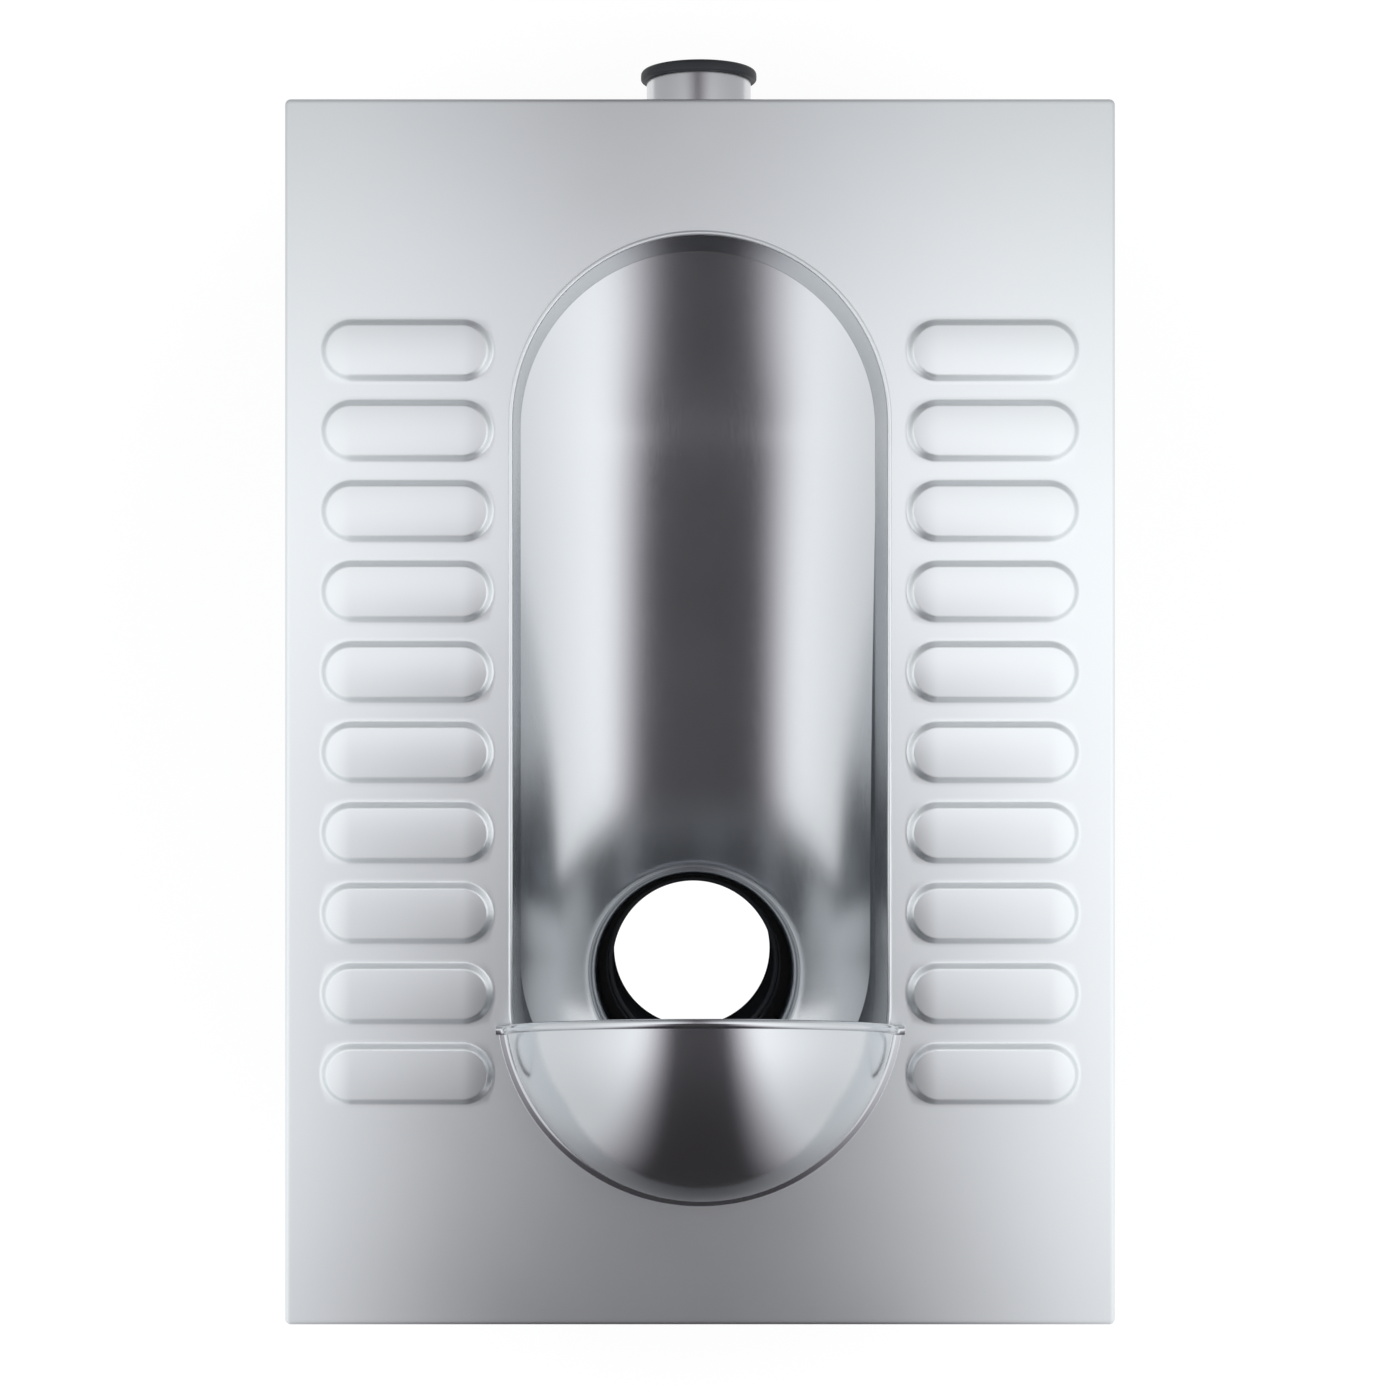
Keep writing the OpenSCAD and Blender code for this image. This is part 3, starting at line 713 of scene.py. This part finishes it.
def deck_surface(scene):
    """Outer skin of the deck."""
    deck, p = scene.pan_deck, plan(scene)
    notch_r = p["inlet_r"] + NOTCH_GAP
    notch_z = deck.height - deck.skirt + RETURN_BEND - p["inlet_z"]
    notch_x = math.sqrt(notch_r ** 2 - notch_z ** 2)
    lines = deck_lines(deck, p, notch_x)
    return join(deck_top(scene, *lines), deck_edge(scene, *lines[:2], notch_r, notch_x))


# ---- Trough


def bead_profile(deck, trough, p):
    """Closed section of the half-round bead on the deck's edge."""
    angle = ramp(np.pi, 0, 15)
    return np.stack([p["opening_r"] + trough.bead / 2 * (1 + np.cos(angle)),
                     deck.height + trough.bead / 2 * np.sin(angle)], -1)


def curtain_profile(deck, trough, p):
    """Closed section of the leaning curtain below the bead, with its rounded foot."""
    inside = np.array([[p["opening_r"], deck.height]])
    low = deck.height - trough.curtain
    foot = (p["foot_r"] + p["opening_r"] - trough.lean) / 2
    curl = ramp(0, -np.pi, 7)
    half = deck.sheet / 2
    end = np.stack([foot + half * np.cos(curl), low + half + half * np.sin(curl)], -1)
    outside = inside + (deck.sheet, 0)
    steps = ramp(0, 1, 8)[1:-1, None]
    down = outside * (1 - steps) + end[:1] * steps
    up = end[-1:] * (1 - steps) + inside * steps
    return np.concatenate([inside, outside, down, end, up])


def bowl_surface(scene, around=(132, 64), wall=96, back=40):
    """Bowl's closed shell. Its points lie on rays from the outlet's axis to the rim. Below an
    upright wall, and with u the distance to the spine over the rim's radius, the height
    falls by the floor's depth times 1 - u^n. The wall, the depth and n run from the front to
    the rear by half a cosine wave of t^ease, where t runs from 0 to 1. A flare bends the
    floor down to the mouth by 1 - sqrt(1 - q^3), where q runs from 0 to 1 at the mouth."""
    deck, trough, p = scene.pan_deck, scene.pan_trough, plan(scene)
    spine_y, out_x, out_y = trough_path(p, *around)
    front_end = p["front_y"] - p["trough_r"]

    def skin(grow, share):
        rim_r = p["trough_r"] + grow
        rim = np.stack([out_x * rim_r, spine_y + out_y * rim_r], -1)
        reach = np.linalg.norm(rim, axis=1)
        inner = p["mouth_r"] + grow
        r = inner + (reach - inner) * share[:, None]
        xy = rim * (r / reach)[..., None]
        nearest = np.clip(xy[..., 1], p["front_y"], p["rear_y"])
        u = np.minimum(np.hypot(xy[..., 0], xy[..., 1] - nearest) / rim_r, 1)
        along = (xy[..., 1] - front_end) / (p["rear_y"] + p["trough_r"] - front_end)
        k = smooth_ramp(np.clip(along, 0, 1) ** trough.ease)
        depth = trough.floor_front + (trough.floor_rear - trough.floor_front) * k
        upright = trough.wall_front + (trough.wall_rear - trough.wall_front) * k
        power = trough.front_power + (trough.rear_power - trough.front_power) * k
        base = p["bowl_top"] - upright
        z = base - (depth - upright - deck.height + p["bowl_top"]) * (1 - u ** power) - grow
        q = np.clip(1 - (r - inner) / trough.flare, 0, 1)
        f = 1 - np.sqrt(1 - q ** 3)
        z = z * (1 - f) + p["mouth_z"] * f
        return np.concatenate([xy, z[..., None]], -1)

    def rim_ring(r, z):
        return np.stack([out_x * r, spine_y + out_y * r, np.full(len(out_x), z)], -1)[None]

    # Both skins' rows crowd towards the mouth and the rim
    crowd, crowd_back = smooth_ramp(ramp(0, 1, wall)), smooth_ramp(ramp(0, 1, back))
    foot = p["channel_r"] + deck.sheet
    points = np.concatenate([
        skin(0, crowd), rim_ring(p["trough_r"], p["bowl_top"]), rim_ring(foot, p["bowl_top"]),
        rim_ring(foot, p["bowl_top"] - deck.sheet),
        rim_ring(p["trough_r"] + deck.sheet, p["bowl_top"] - deck.sheet),
        skin(deck.sheet, crowd_back[::-1])])
    return sheet_grid(points, True, True)


def channel_surface(scene):
    """Flush channel: a Z-shaped section with bent corners, carried round the trough."""
    deck, p = scene.pan_deck, plan(scene)
    s, top, low = deck.sheet, p["under"], p["bowl_top"]
    corners = [
        (p["trough_r"], low), (p["channel_r"] + s, low), (p["channel_r"] + s, top - s),
        (p["flange_r"], top - s), (p["flange_r"], top), (p["channel_r"], top),
        (p["channel_r"], low + s), (p["trough_r"], low + s)]
    half = [CUT_EDGE, OUTER_BEND, INNER_BEND, CUT_EDGE]
    radii = half + half
    return carry_round_trough(p, rounded(corners, radii, 5), arc_steps=64, run_steps=12)


def bore_channel(scene):
    """Finish that cuts the inlet tube's hole through the channel's rear wall."""
    p, fit = plan(scene), scene.pan_fittings

    def finish(piece):
        r = p["inlet_r"] + fit.push_gap
        # The drill starts this far inside the channel's wall, which curves away from it
        depth = 0.012
        near, far = p["rear_y"] + p["channel_r"] - depth, p["rear_edge"]
        turn = ramp(0, 2 * np.pi, 97)[:-1]
        ring = np.stack([r * np.cos(turn), 0 * turn, p["inlet_z"] + r * np.sin(turn)], -1)
        points, faces = prism(ring + [0, near, 0], ring + [0, far, 0])
        mesh = build_mesh("inlet_hole", points, faces)
        clean(mesh)
        drill = bpy.data.objects.new("inlet_hole", mesh)
        bpy.context.scene.collection.objects.link(drill)
        cut = piece.modifiers.new("hole", "BOOLEAN")
        cut.operation = "DIFFERENCE"
        cut.solver = "EXACT"
        cut.object = drill
        settle(piece)
        bpy.data.objects.remove(drill)
        bpy.data.meshes.remove(mesh)
    return finish


# ---- Hood


def hood_surface(scene):
    """Hood: a dome swept by planes that turn about the line through the arch's feet, each
    cutting the sphere in an arc; its rolled edge, a tube along the arch and out over the
    feet; and the foot flange with a fillet up to the dome."""
    deck, hood, p = scene.pan_deck, scene.pan_hood, plan(scene)
    foot = p["bead_r"] + hood.gap + deck.sheet
    ball_r = (foot ** 2 + hood.height ** 2) / (2 * hood.height)
    ball_z = hood.height - ball_r
    lean = math.atan2(hood.setback + hood.overhang, hood.height)

    def arcs(radius, tilt, steps):
        """Arc in each plane: its circle's centre is the ball centre's foot on the plane."""
        off = hood.setback * np.cos(tilt) - ball_z * np.sin(tilt)
        mid = hood.setback * np.sin(tilt) + ball_z * np.cos(tilt)
        circle = np.sqrt(radius ** 2 - off ** 2)
        start = np.arcsin(-mid / circle)
        angle = start + (np.pi - 2 * start) * ramp(0, 1, steps)[:, None]
        x = circle * np.cos(angle)
        t = mid + circle * np.sin(angle)
        return np.stack([x, -hood.setback + t * np.sin(tilt), t * np.cos(tilt)], -1)

    tilt, arc_steps = ramp(lean, -np.pi / 2, 97), 161
    outer = arcs(ball_r, tilt, arc_steps)
    inner = arcs(ball_r - deck.sheet, tilt[::-1], arc_steps)
    dome = sheet_grid(np.concatenate([outer, inner], axis=1), False, True)

    # Rolled edge: in the arch's plane, out along the feet, round a bend and up the arch
    roll_r = hood.roll / 2
    edge_r = ball_r - deck.sheet / 2
    off = hood.setback * math.cos(lean) - ball_z * math.sin(lean)
    mid = hood.setback * math.sin(lean) + ball_z * math.cos(lean)
    circle = math.sqrt(edge_r ** 2 - off ** 2)
    end_x = foot + hood.flange
    height = roll_r - WELD
    bend_r = 0.004
    bend_x = math.sqrt((circle + bend_r) ** 2 - (height + bend_r - mid) ** 2)
    meet = math.atan2(height + bend_r - mid, bend_x)
    arch = ramp(meet, np.pi - meet, 129)
    turn = ramp(-np.pi / 2, -np.pi + meet, 9)[:-1]
    half = np.concatenate([
        [[end_x, height]],
        np.stack([bend_x + bend_r * np.cos(turn), height + bend_r + bend_r * np.sin(turn)], -1)])
    line = np.concatenate([
        half, np.stack([circle * np.cos(arch), mid + circle * np.sin(arch)], -1),
        (half * [-1, 1])[::-1]])
    along = np.gradient(line, axis=0)
    along /= np.linalg.norm(along, axis=1, keepdims=True)
    side = np.stack([along[:, 1], -along[:, 0]], -1)
    around = ramp(0, 2 * np.pi, 25)[:-1]
    across = line[:, None] + side[:, None] * (roll_r * np.cos(around))[:, None]
    off_plane = np.broadcast_to(roll_r * np.sin(around), across.shape[:2])
    tube = np.stack([
        across[..., 0],
        -hood.setback + across[..., 1] * math.sin(lean) + off_plane * math.cos(lean),
        across[..., 1] * math.cos(lean) - off_plane * math.sin(lean)], -1)
    tube[..., 2] = np.maximum(tube[..., 2], 0)
    roll = sheet_grid(capped(tube), False, True)

    # Foot flange with its fillet
    fillet = 0.0022
    curve = ramp(-np.pi / 2, -np.pi, 8)
    hollow = np.stack([foot - CUT_EDGE + fillet + fillet * np.cos(curve),
                       deck.sheet + fillet + fillet * np.sin(curve)], -1)
    rim = rounded([(foot - deck.sheet, 0), (end_x, 0), (end_x, deck.sheet)], CUT_EDGE, 4)
    section = np.concatenate([rim, hollow, [[foot - deck.sheet, deck.sheet + fillet]]])
    start = math.asin(hood.setback / end_x)
    a = ramp(-np.pi + start, -start, 121)[:, None]
    ring = np.stack([np.cos(a) * section[:, 0], np.sin(a) * section[:, 0],
                     0 * a + section[:, 1]], -1)
    flange = sheet_grid(capped(ring), False, True)

    points, faces = join(dome, roll, flange)
    return points + [0, p["front_y"], deck.height], faces


# ---- Tubes and rubber rings


def turn_to_rear(surface, y, z):
    """Surface made about Z, laid down so that its axis points to the rear."""
    points, faces = surface
    return np.stack([points[:, 0], points[:, 2] + y, z - points[:, 1]], -1), faces


def ring_profile(inner, outer, low, high):
    """Rectangle of radii and heights with rounded corners."""
    return rounded([(inner, low), (outer, low), (outer, high), (inner, high)], CUT_EDGE, 5)


def inlet_surfaces(scene):
    """Inlet tube, and the collar whose flange covers its end and whose sleeve lines it."""
    fit, p = scene.pan_fittings, plan(scene)
    start = math.sqrt(p["channel_r"] ** 2 - p["inlet_r"] ** 2) - WELD
    start = p["rear_y"] + start - p["tube_end"]
    tube = lathe(ring_profile(p["inlet_r"] - fit.inlet_wall, p["inlet_r"], start, 0))
    sleeve = p["inlet_r"] - fit.inlet_wall - fit.push_gap
    bore = sleeve - fit.sleeve_wall
    rim = p["inlet_r"] + fit.collar_reach
    corners = [(bore, -fit.sleeve), (sleeve, -fit.sleeve), (sleeve, 0), (rim, 0),
               (rim, fit.collar), (bore, fit.collar)]
    # Roundings of the moulded corners, in the same order
    radii = [0.0006, 0.0012, 0.0001, 0.0014, 0.0024, 0.001]
    collar = lathe(rounded(corners, radii, 7))
    return (turn_to_rear(tube, p["tube_end"], p["inlet_z"]),
            turn_to_rear(collar, p["tube_end"], p["inlet_z"]))


def outlet_surfaces(scene):
    """Outlet tube, and the grooved seal that grips it from outside and lines it."""
    fit, p = scene.pan_fittings, plan(scene)
    tube = lathe(ring_profile(p["mouth_r"], p["mouth_r"] + fit.outlet_wall, fit.lip,
                              p["mouth_z"]))
    grip = p["mouth_r"] + fit.outlet_wall + fit.push_gap
    outer = grip + fit.seal_wall
    top = fit.lip + fit.seal_sleeve
    land = (top - fit.grooves * fit.groove_width) / (fit.grooves + 1)
    low = land + np.arange(fit.grooves) * (land + fit.groove_width)
    high = low + fit.groove_width
    deep = outer - fit.groove_depth
    notch = [(r, z) for a, b in zip(low, high)
             for r, z in ((outer, a), (deep, a), (deep, b), (outer, b))]
    bore, lining = p["mouth_r"] - fit.lining, p["mouth_r"] - fit.push_gap
    lining_top = p["mouth_z"] - fit.lining_gap
    corners = np.concatenate([
        [(bore, 0), (outer, 0)], notch,
        [(outer, top), (grip, top), (grip, fit.lip), (lining, fit.lip), (lining, lining_top),
         (bore, lining_top)]])
    # Roundings of the moulded corners, in the same order
    radii = np.concatenate([[0.0015, 0.0015], np.full(len(notch), 0.0004),
                            [0.0008, 0.0006, 0.0002, 0.0002, 0.0008, 0.0012]])
    return tube, lathe(rounded(corners, radii, 5))


# ---- Bars and lugs


def bar_surface(scene, side):
    """Stiffener bar: a hat section with bent corners, run along the deck."""
    deck, bars, p = scene.pan_deck, scene.pan_bars, plan(scene)
    s, half, web = deck.sheet, bars.width / 2, bars.web / 2
    corners = np.array([
        (-half, 0), (-web + s, 0), (-web + s, -bars.height + s), (web - s, -bars.height + s),
        (web - s, 0), (half, 0), (half, -s), (web, -s), (web, -bars.height),
        (-web, -bars.height), (-web, -s), (-half, -s)])
    top = [CUT_EDGE, OUTER_BEND, INNER_BEND]
    low = [CUT_EDGE, INNER_BEND, OUTER_BEND]
    radii = top + top[::-1] + low + low[::-1]
    outline = rounded(corners, radii, 5)
    x = side * (p["flange_r"] + deck.width / 2 - deck.fold_return) / 2
    half_run = deck.length / 2 - bars.end
    flat = np.stack([x + outline[:, 0], np.zeros(len(outline)),
                     p["under"] + outline[:, 1]], -1)
    return prism(flat + [0, p["deck_y"] - half_run, 0],
                 flat + [0, p["deck_y"] + half_run, 0])


# ---- Operators


class PanPiece:
    """What the operators share."""

    bl_options = {"REGISTER", "UNDO"}


class PAN_OT_deck(PanPiece, bpy.types.Operator):
    """Pressed deck with its treads, fold, skirt and return"""

    bl_idname = "pan.deck"
    bl_label = "Deck"

    def execute(self, context):
        scene = context.scene
        add_piece("deck_sheet", deck_surface(scene), "deck_steel", ["deck"],
                  finish=thicken(scene.pan_deck.sheet))
        return {"FINISHED"}


class PAN_OT_curtain(PanPiece, bpy.types.Operator):
    """Rim bead and the curtain that hangs from it"""

    bl_idname = "pan.curtain"
    bl_label = "Rim curtain"

    def execute(self, context):
        scene = context.scene
        p = plan(scene)
        for name, profile, slot in (("rim_bead", bead_profile, "deck_steel"),
                                    ("curtain_sheet", curtain_profile, "bright_steel")):
            section = profile(scene.pan_deck, scene.pan_trough, p)
            add_piece(name, carry_round_trough(p, section, arc_steps=128), slot,
                      ["rim_curtain"])
        return {"FINISHED"}


class PAN_OT_bowl(PanPiece, bpy.types.Operator):
    """Drawn bowl with its sloping floor and flared mouth"""

    bl_idname = "pan.bowl"
    bl_label = "Bowl"

    def execute(self, context):
        add_piece("bowl_shell", bowl_surface(context.scene), "bright_steel", ["bowl"])
        return {"FINISHED"}


class PAN_OT_channel(PanPiece, bpy.types.Operator):
    """Flush channel round the trough"""

    bl_idname = "pan.channel"
    bl_label = "Flush channel"

    def execute(self, context):
        add_piece("channel_sheet", channel_surface(context.scene), "under_steel",
                  ["flush_channel"], finish=bore_channel(context.scene))
        return {"FINISHED"}


class PAN_OT_hood(PanPiece, bpy.types.Operator):
    """Splash hood with its rolled edge and foot flange"""

    bl_idname = "pan.hood"
    bl_label = "Hood"

    def execute(self, context):
        add_piece("hood_shell", hood_surface(context.scene), "bright_steel", ["hood"],
                  crease=math.radians(50))
        return {"FINISHED"}


class PAN_OT_inlet(PanPiece, bpy.types.Operator):
    """Flush inlet tube and its rubber collar"""

    bl_idname = "pan.inlet"
    bl_label = "Inlet"

    def execute(self, context):
        tube, collar = inlet_surfaces(context.scene)
        add_piece("inlet_tube", tube, "tube_steel", ["flush_spigot"])
        add_piece("collar_ring", collar, "rubber", ["inlet_collar"])
        return {"FINISHED"}


class PAN_OT_outlet(PanPiece, bpy.types.Operator):
    """Outlet tube and its rubber seal"""

    bl_idname = "pan.outlet"
    bl_label = "Outlet"

    def execute(self, context):
        tube, seal = outlet_surfaces(context.scene)
        add_piece("outlet_tube", tube, "tube_steel", ["outlet_spigot"])
        add_piece("seal_ring", seal, "rubber", ["outlet_seal"])
        return {"FINISHED"}


class PAN_OT_bars(PanPiece, bpy.types.Operator):
    """Stiffener bars, and the finish of the anchor lugs"""

    bl_idname = "pan.bars"
    bl_label = "Bars and lugs"

    def execute(self, context):
        for side, name in ((-1, "left"), (1, "right")):
            add_piece(name + "_bar", bar_surface(context.scene, side), "under_steel",
                      [name + "_stiffener"])
        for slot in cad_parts["anchor_lugs"].material_slots:
            slot.material = finish_for("under_steel")
        return {"FINISHED"}


# ---- Stage


def white_world():
    """Plain white surroundings."""
    world = bpy.data.worlds.new("studio")
    world.use_nodes = True
    world.node_tree.nodes["Background"].inputs["Color"].default_value = (1, 1, 1, 1)
    return world


def tent_cloth(scene):
    """Glowing cloth of the light tent, by x and y of the direction from the tent's centre.
    Its two sides are brightest beside the gap over the pan and fade outwards. The gap hardly
    glows, and narrows towards the rear. The whole cloth is dimmer at the rear and the front.
    From outside, the tent is clear."""
    stage, finish = scene.pan_stage, scene.pan_finish
    # Places along y: where the gap narrows, and where the cloth dims
    narrowing, rear_fade, front_fade = (-0.1, 0.13), (0.05, 1.0), (-1.0, -0.4)
    material = new_material("tent_cloth")
    material.cycles.emission_sampling = "NONE"
    tree = material.node_tree
    place = add_node(tree, "TexCoord").outputs["Object"]
    unit = add_node(tree, "VectorMath", {0: place}, operation="NORMALIZE")
    axes = add_node(tree, "SeparateXYZ", {0: unit}).outputs
    x, y = axes[0], axes[1]

    # How far a direction lies from the gap's middle line, and how lit that makes it
    ahead = add_node(tree, "Math", {0: y, 1: 0.0}, operation="MINIMUM")
    turn = add_node(tree, "Math", {0: ahead, 1: stage.gap_turn}, operation="MULTIPLY")
    moved = add_node(tree, "Math", {0: x, 1: stage.gap_left}, operation="ADD")
    moved = add_node(tree, "Math", {0: moved, 1: turn}, operation="ADD")
    away = add_node(tree, "Math", {0: moved}, operation="ABSOLUTE")
    edges = [add_node(tree, "MapRange", {
        "Value": y, "From Min": narrowing[0], "From Max": narrowing[1],
        "To Min": front, "To Max": rear}, interpolation_type="SMOOTHSTEP")
        for front, rear in ((stage.gap_inner, stage.rear_inner),
                            (stage.gap_outer, stage.rear_outer))]
    lit = add_node(tree, "MapRange", {
        "Value": away, "From Min": edges[0], "From Max": edges[1],
        "To Min": 0.0, "To Max": 1.0}, interpolation_type="SMOOTHSTEP")

    # Glow: from the top to the side that x points to, and down in the gap and at the ends
    on_right = add_node(tree, "Math", {0: x, 1: 0.0}, operation="GREATER_THAN")
    side = add_node(tree, "Mix", {
        "Factor": on_right, "A": stage.left_light, "B": stage.right_light})
    aside = add_node(tree, "Math", {0: x}, operation="ABSOLUTE")
    glow = add_node(tree, "Mix", {"Factor": aside, "A": stage.top_light, "B": side})
    glow = add_node(tree, "Mix", {"Factor": lit, "A": stage.gap_light, "B": glow})
    for (start, end), low, high in ((rear_fade, 1.0, stage.rear_light),
                                    (front_fade, stage.front_light, 1.0)):
        share = add_node(tree, "MapRange", {
            "Value": y, "From Min": start, "From Max": end, "To Min": low, "To Max": high},
            interpolation_type="SMOOTHSTEP")
        glow = add_node(tree, "Math", {0: glow, 1: share}, operation="MULTIPLY")
    tone = add_node(tree, "Mix", {0: lit, 6: linear(finish.gap), 7: linear(finish.cloth)},
                    data_type="RGBA")
    cloth = add_node(tree, "Emission", {"Color": tone.outputs[2], "Strength": glow})
    outside = add_node(tree, "NewGeometry").outputs["Backfacing"]
    both = add_node(tree, "MixShader", {
        0: outside, 1: add_node(tree, "BsdfTransparent"), 2: cloth})
    add_node(tree, "OutputMaterial", {"Surface": both})
    return material


def light_tent(scene):
    """Round tent over the pan, which the camera looks through."""
    mesh = bpy.data.meshes.new("light_tent")
    bm = bmesh.new()
    bmesh.ops.create_uvsphere(bm, u_segments=64, v_segments=32, radius=scene.pan_stage.tent)
    bm.to_mesh(mesh)
    bm.free()
    mesh.materials.append(tent_cloth(scene))
    tent = bpy.data.objects.new("light_tent", mesh)
    tent.location = (0, plan(scene)["deck_y"], scene.pan_deck.height)
    tent.visible_camera = False
    return tent


def floor_paint(scene):
    """Matt white paint of the studio floor. To the camera, and in reflections, it is mostly
    plain white, and the rest is lit, so that the object's shadow stays. That rest fades out
    before the tent's foot. The spot that the outlet encloses is plain white to the camera,
    and to reflections it is painted shade: a dark colour with no white glow, for the shade
    inside the outlet, so that the outlet's wall is dark. From below, the floor is clear."""
    stage, finish, p = scene.pan_stage, scene.pan_finish, plan(scene)
    fade_from, fade_to = 0.55 * stage.tent, 0.9 * stage.tent
    material = new_material("matt_floor_paint")
    material.cycles.emission_sampling = "NONE"
    tree = material.node_tree
    place = add_node(tree, "TexCoord").outputs["Object"]
    reach = add_node(tree, "VectorMath", {0: place}, operation="LENGTH").outputs["Value"]
    floor = add_node(tree, "Math", {0: reach, 1: p["mouth_r"]}, operation="GREATER_THAN")
    # Painted shade: inside the outlet the floor's colour is dark, for the shade there
    tone = add_node(tree, "Mix", {0: floor, 6: linear(finish.painted_shade),
                                  7: linear(finish.floor)}, data_type="RGBA")
    paint = add_node(tree, "BsdfPrincipled", {"Base Color": tone.outputs[2],
                                              "Roughness": 0.9})
    middle = add_node(tree, "VectorMath", {0: place, 1: (0, p["deck_y"], 0)},
                      operation="DISTANCE").outputs["Value"]
    share = add_node(tree, "MapRange", {
        "Value": middle, "From Min": fade_from, "From Max": fade_to,
        "To Min": stage.floor_lit, "To Max": 0.0}, interpolation_type="SMOOTHSTEP")
    share = add_node(tree, "Math", {0: floor, 1: share}, operation="MULTIPLY")
    plain = add_node(tree, "Math", {0: 1.0, 1: share}, operation="SUBTRACT")
    rays = add_node(tree, "LightPath").outputs
    bent = add_node(tree, "Math", {0: rays["Is Glossy Ray"], 1: rays["Is Transmission Ray"]},
                    operation="MAXIMUM")
    # Reflections see no white glow inside the outlet: painted shade there
    bent = add_node(tree, "Math", {0: bent, 1: floor}, operation="MULTIPLY")
    seen = add_node(tree, "Math", {0: rays["Is Camera Ray"], 1: bent}, operation="MAXIMUM")
    plain = add_node(tree, "Math", {0: seen, 1: plain}, operation="MULTIPLY")
    white = add_node(tree, "Emission", {"Color": (1, 1, 1, 1), "Strength": stage.floor_glow})
    above = add_node(tree, "MixShader", {0: plain, 1: paint, 2: white})
    below = add_node(tree, "NewGeometry").outputs["Backfacing"]
    both = add_node(tree, "MixShader", {
        0: below, 1: above, 2: add_node(tree, "BsdfTransparent")})
    add_node(tree, "OutputMaterial", {"Surface": both})
    return material


def studio_floor(scene):
    """Level square at the outlet's mouth, that is, at height 0."""
    reach = scene.pan_stage.floor_reach
    corners = reach * np.array([(-1, -1, 0), (1, -1, 0), (1, 1, 0), (-1, 1, 0)])
    mesh = build_mesh("floor", corners, np.array([[0, 1, 2, 3]]))
    mesh.materials.append(floor_paint(scene))
    return bpy.data.objects.new("floor", mesh)


class PAN_OT_stage(PanPiece, bpy.types.Operator):
    """Floor, studio light and camera"""

    bl_idname = "pan.stage"
    bl_label = "Stage"

    def execute(self, context):
        scene, stage = context.scene, context.scene.pan_stage
        for item in (studio_floor(scene), light_tent(scene)):
            scene.collection.objects.link(item)
        scene.world = white_world()
        camera = bpy.data.objects.new("camera", bpy.data.cameras.new("camera"))
        camera.location = (stage.nadir_x, stage.nadir_y,
                           scene.pan_deck.height + stage.distance)
        camera.data.lens = stage.lens
        camera.data.shift_x, camera.data.shift_y = stage.shift_x, stage.shift_y
        camera.data.clip_end = 50
        scene.collection.objects.link(camera)
        scene.camera = camera
        scene.view_settings.view_transform = "Standard"
        return {"FINISHED"}


class PAN_PT_sidebar(bpy.types.Panel):
    """Lists the pieces' operators and sizes"""

    bl_idname = "PAN_PT_sidebar"
    bl_label = "Squat Toilet Pan"
    bl_space_type = "VIEW_3D"
    bl_region_type = "UI"
    bl_category = "Pan"

    def draw(self, context):
        for operator in OPERATORS:
            self.layout.operator(operator.bl_idname)
        for name in GROUPS:
            group = getattr(context.scene, name)
            self.layout.label(text=name)
            for key in group.bl_rna.properties.keys():
                if key not in ("rna_type", "name"):
                    self.layout.prop(group, key)


GROUPS = {"pan_deck": PanDeck, "pan_trough": PanTrough, "pan_fittings": PanFittings,
          "pan_hood": PanHood, "pan_bars": PanBars, "pan_finish": PanFinish,
          "pan_stage": PanStage}
OPERATORS = (PAN_OT_deck, PAN_OT_curtain, PAN_OT_bowl, PAN_OT_channel, PAN_OT_hood,
             PAN_OT_inlet, PAN_OT_outlet, PAN_OT_bars, PAN_OT_stage)
CLASSES = (*GROUPS.values(), *OPERATORS, PAN_PT_sidebar)


def register():
    for cls in CLASSES:
        bpy.utils.register_class(cls)
    for name, group in GROUPS.items():
        setattr(bpy.types.Scene, name, PointerProperty(type=group))


def unregister():
    for name in GROUPS:
        delattr(bpy.types.Scene, name)
    for cls in reversed(CLASSES):
        bpy.utils.unregister_class(cls)


def main():
    """Builds every piece and the stage."""
    register()
    bpy.ops.pan.deck()
    bpy.ops.pan.curtain()
    bpy.ops.pan.bowl()
    bpy.ops.pan.channel()
    bpy.ops.pan.hood()
    bpy.ops.pan.inlet()
    bpy.ops.pan.outlet()
    bpy.ops.pan.bars()
    bpy.ops.pan.stage()


if __name__ == "__main__":
    main()
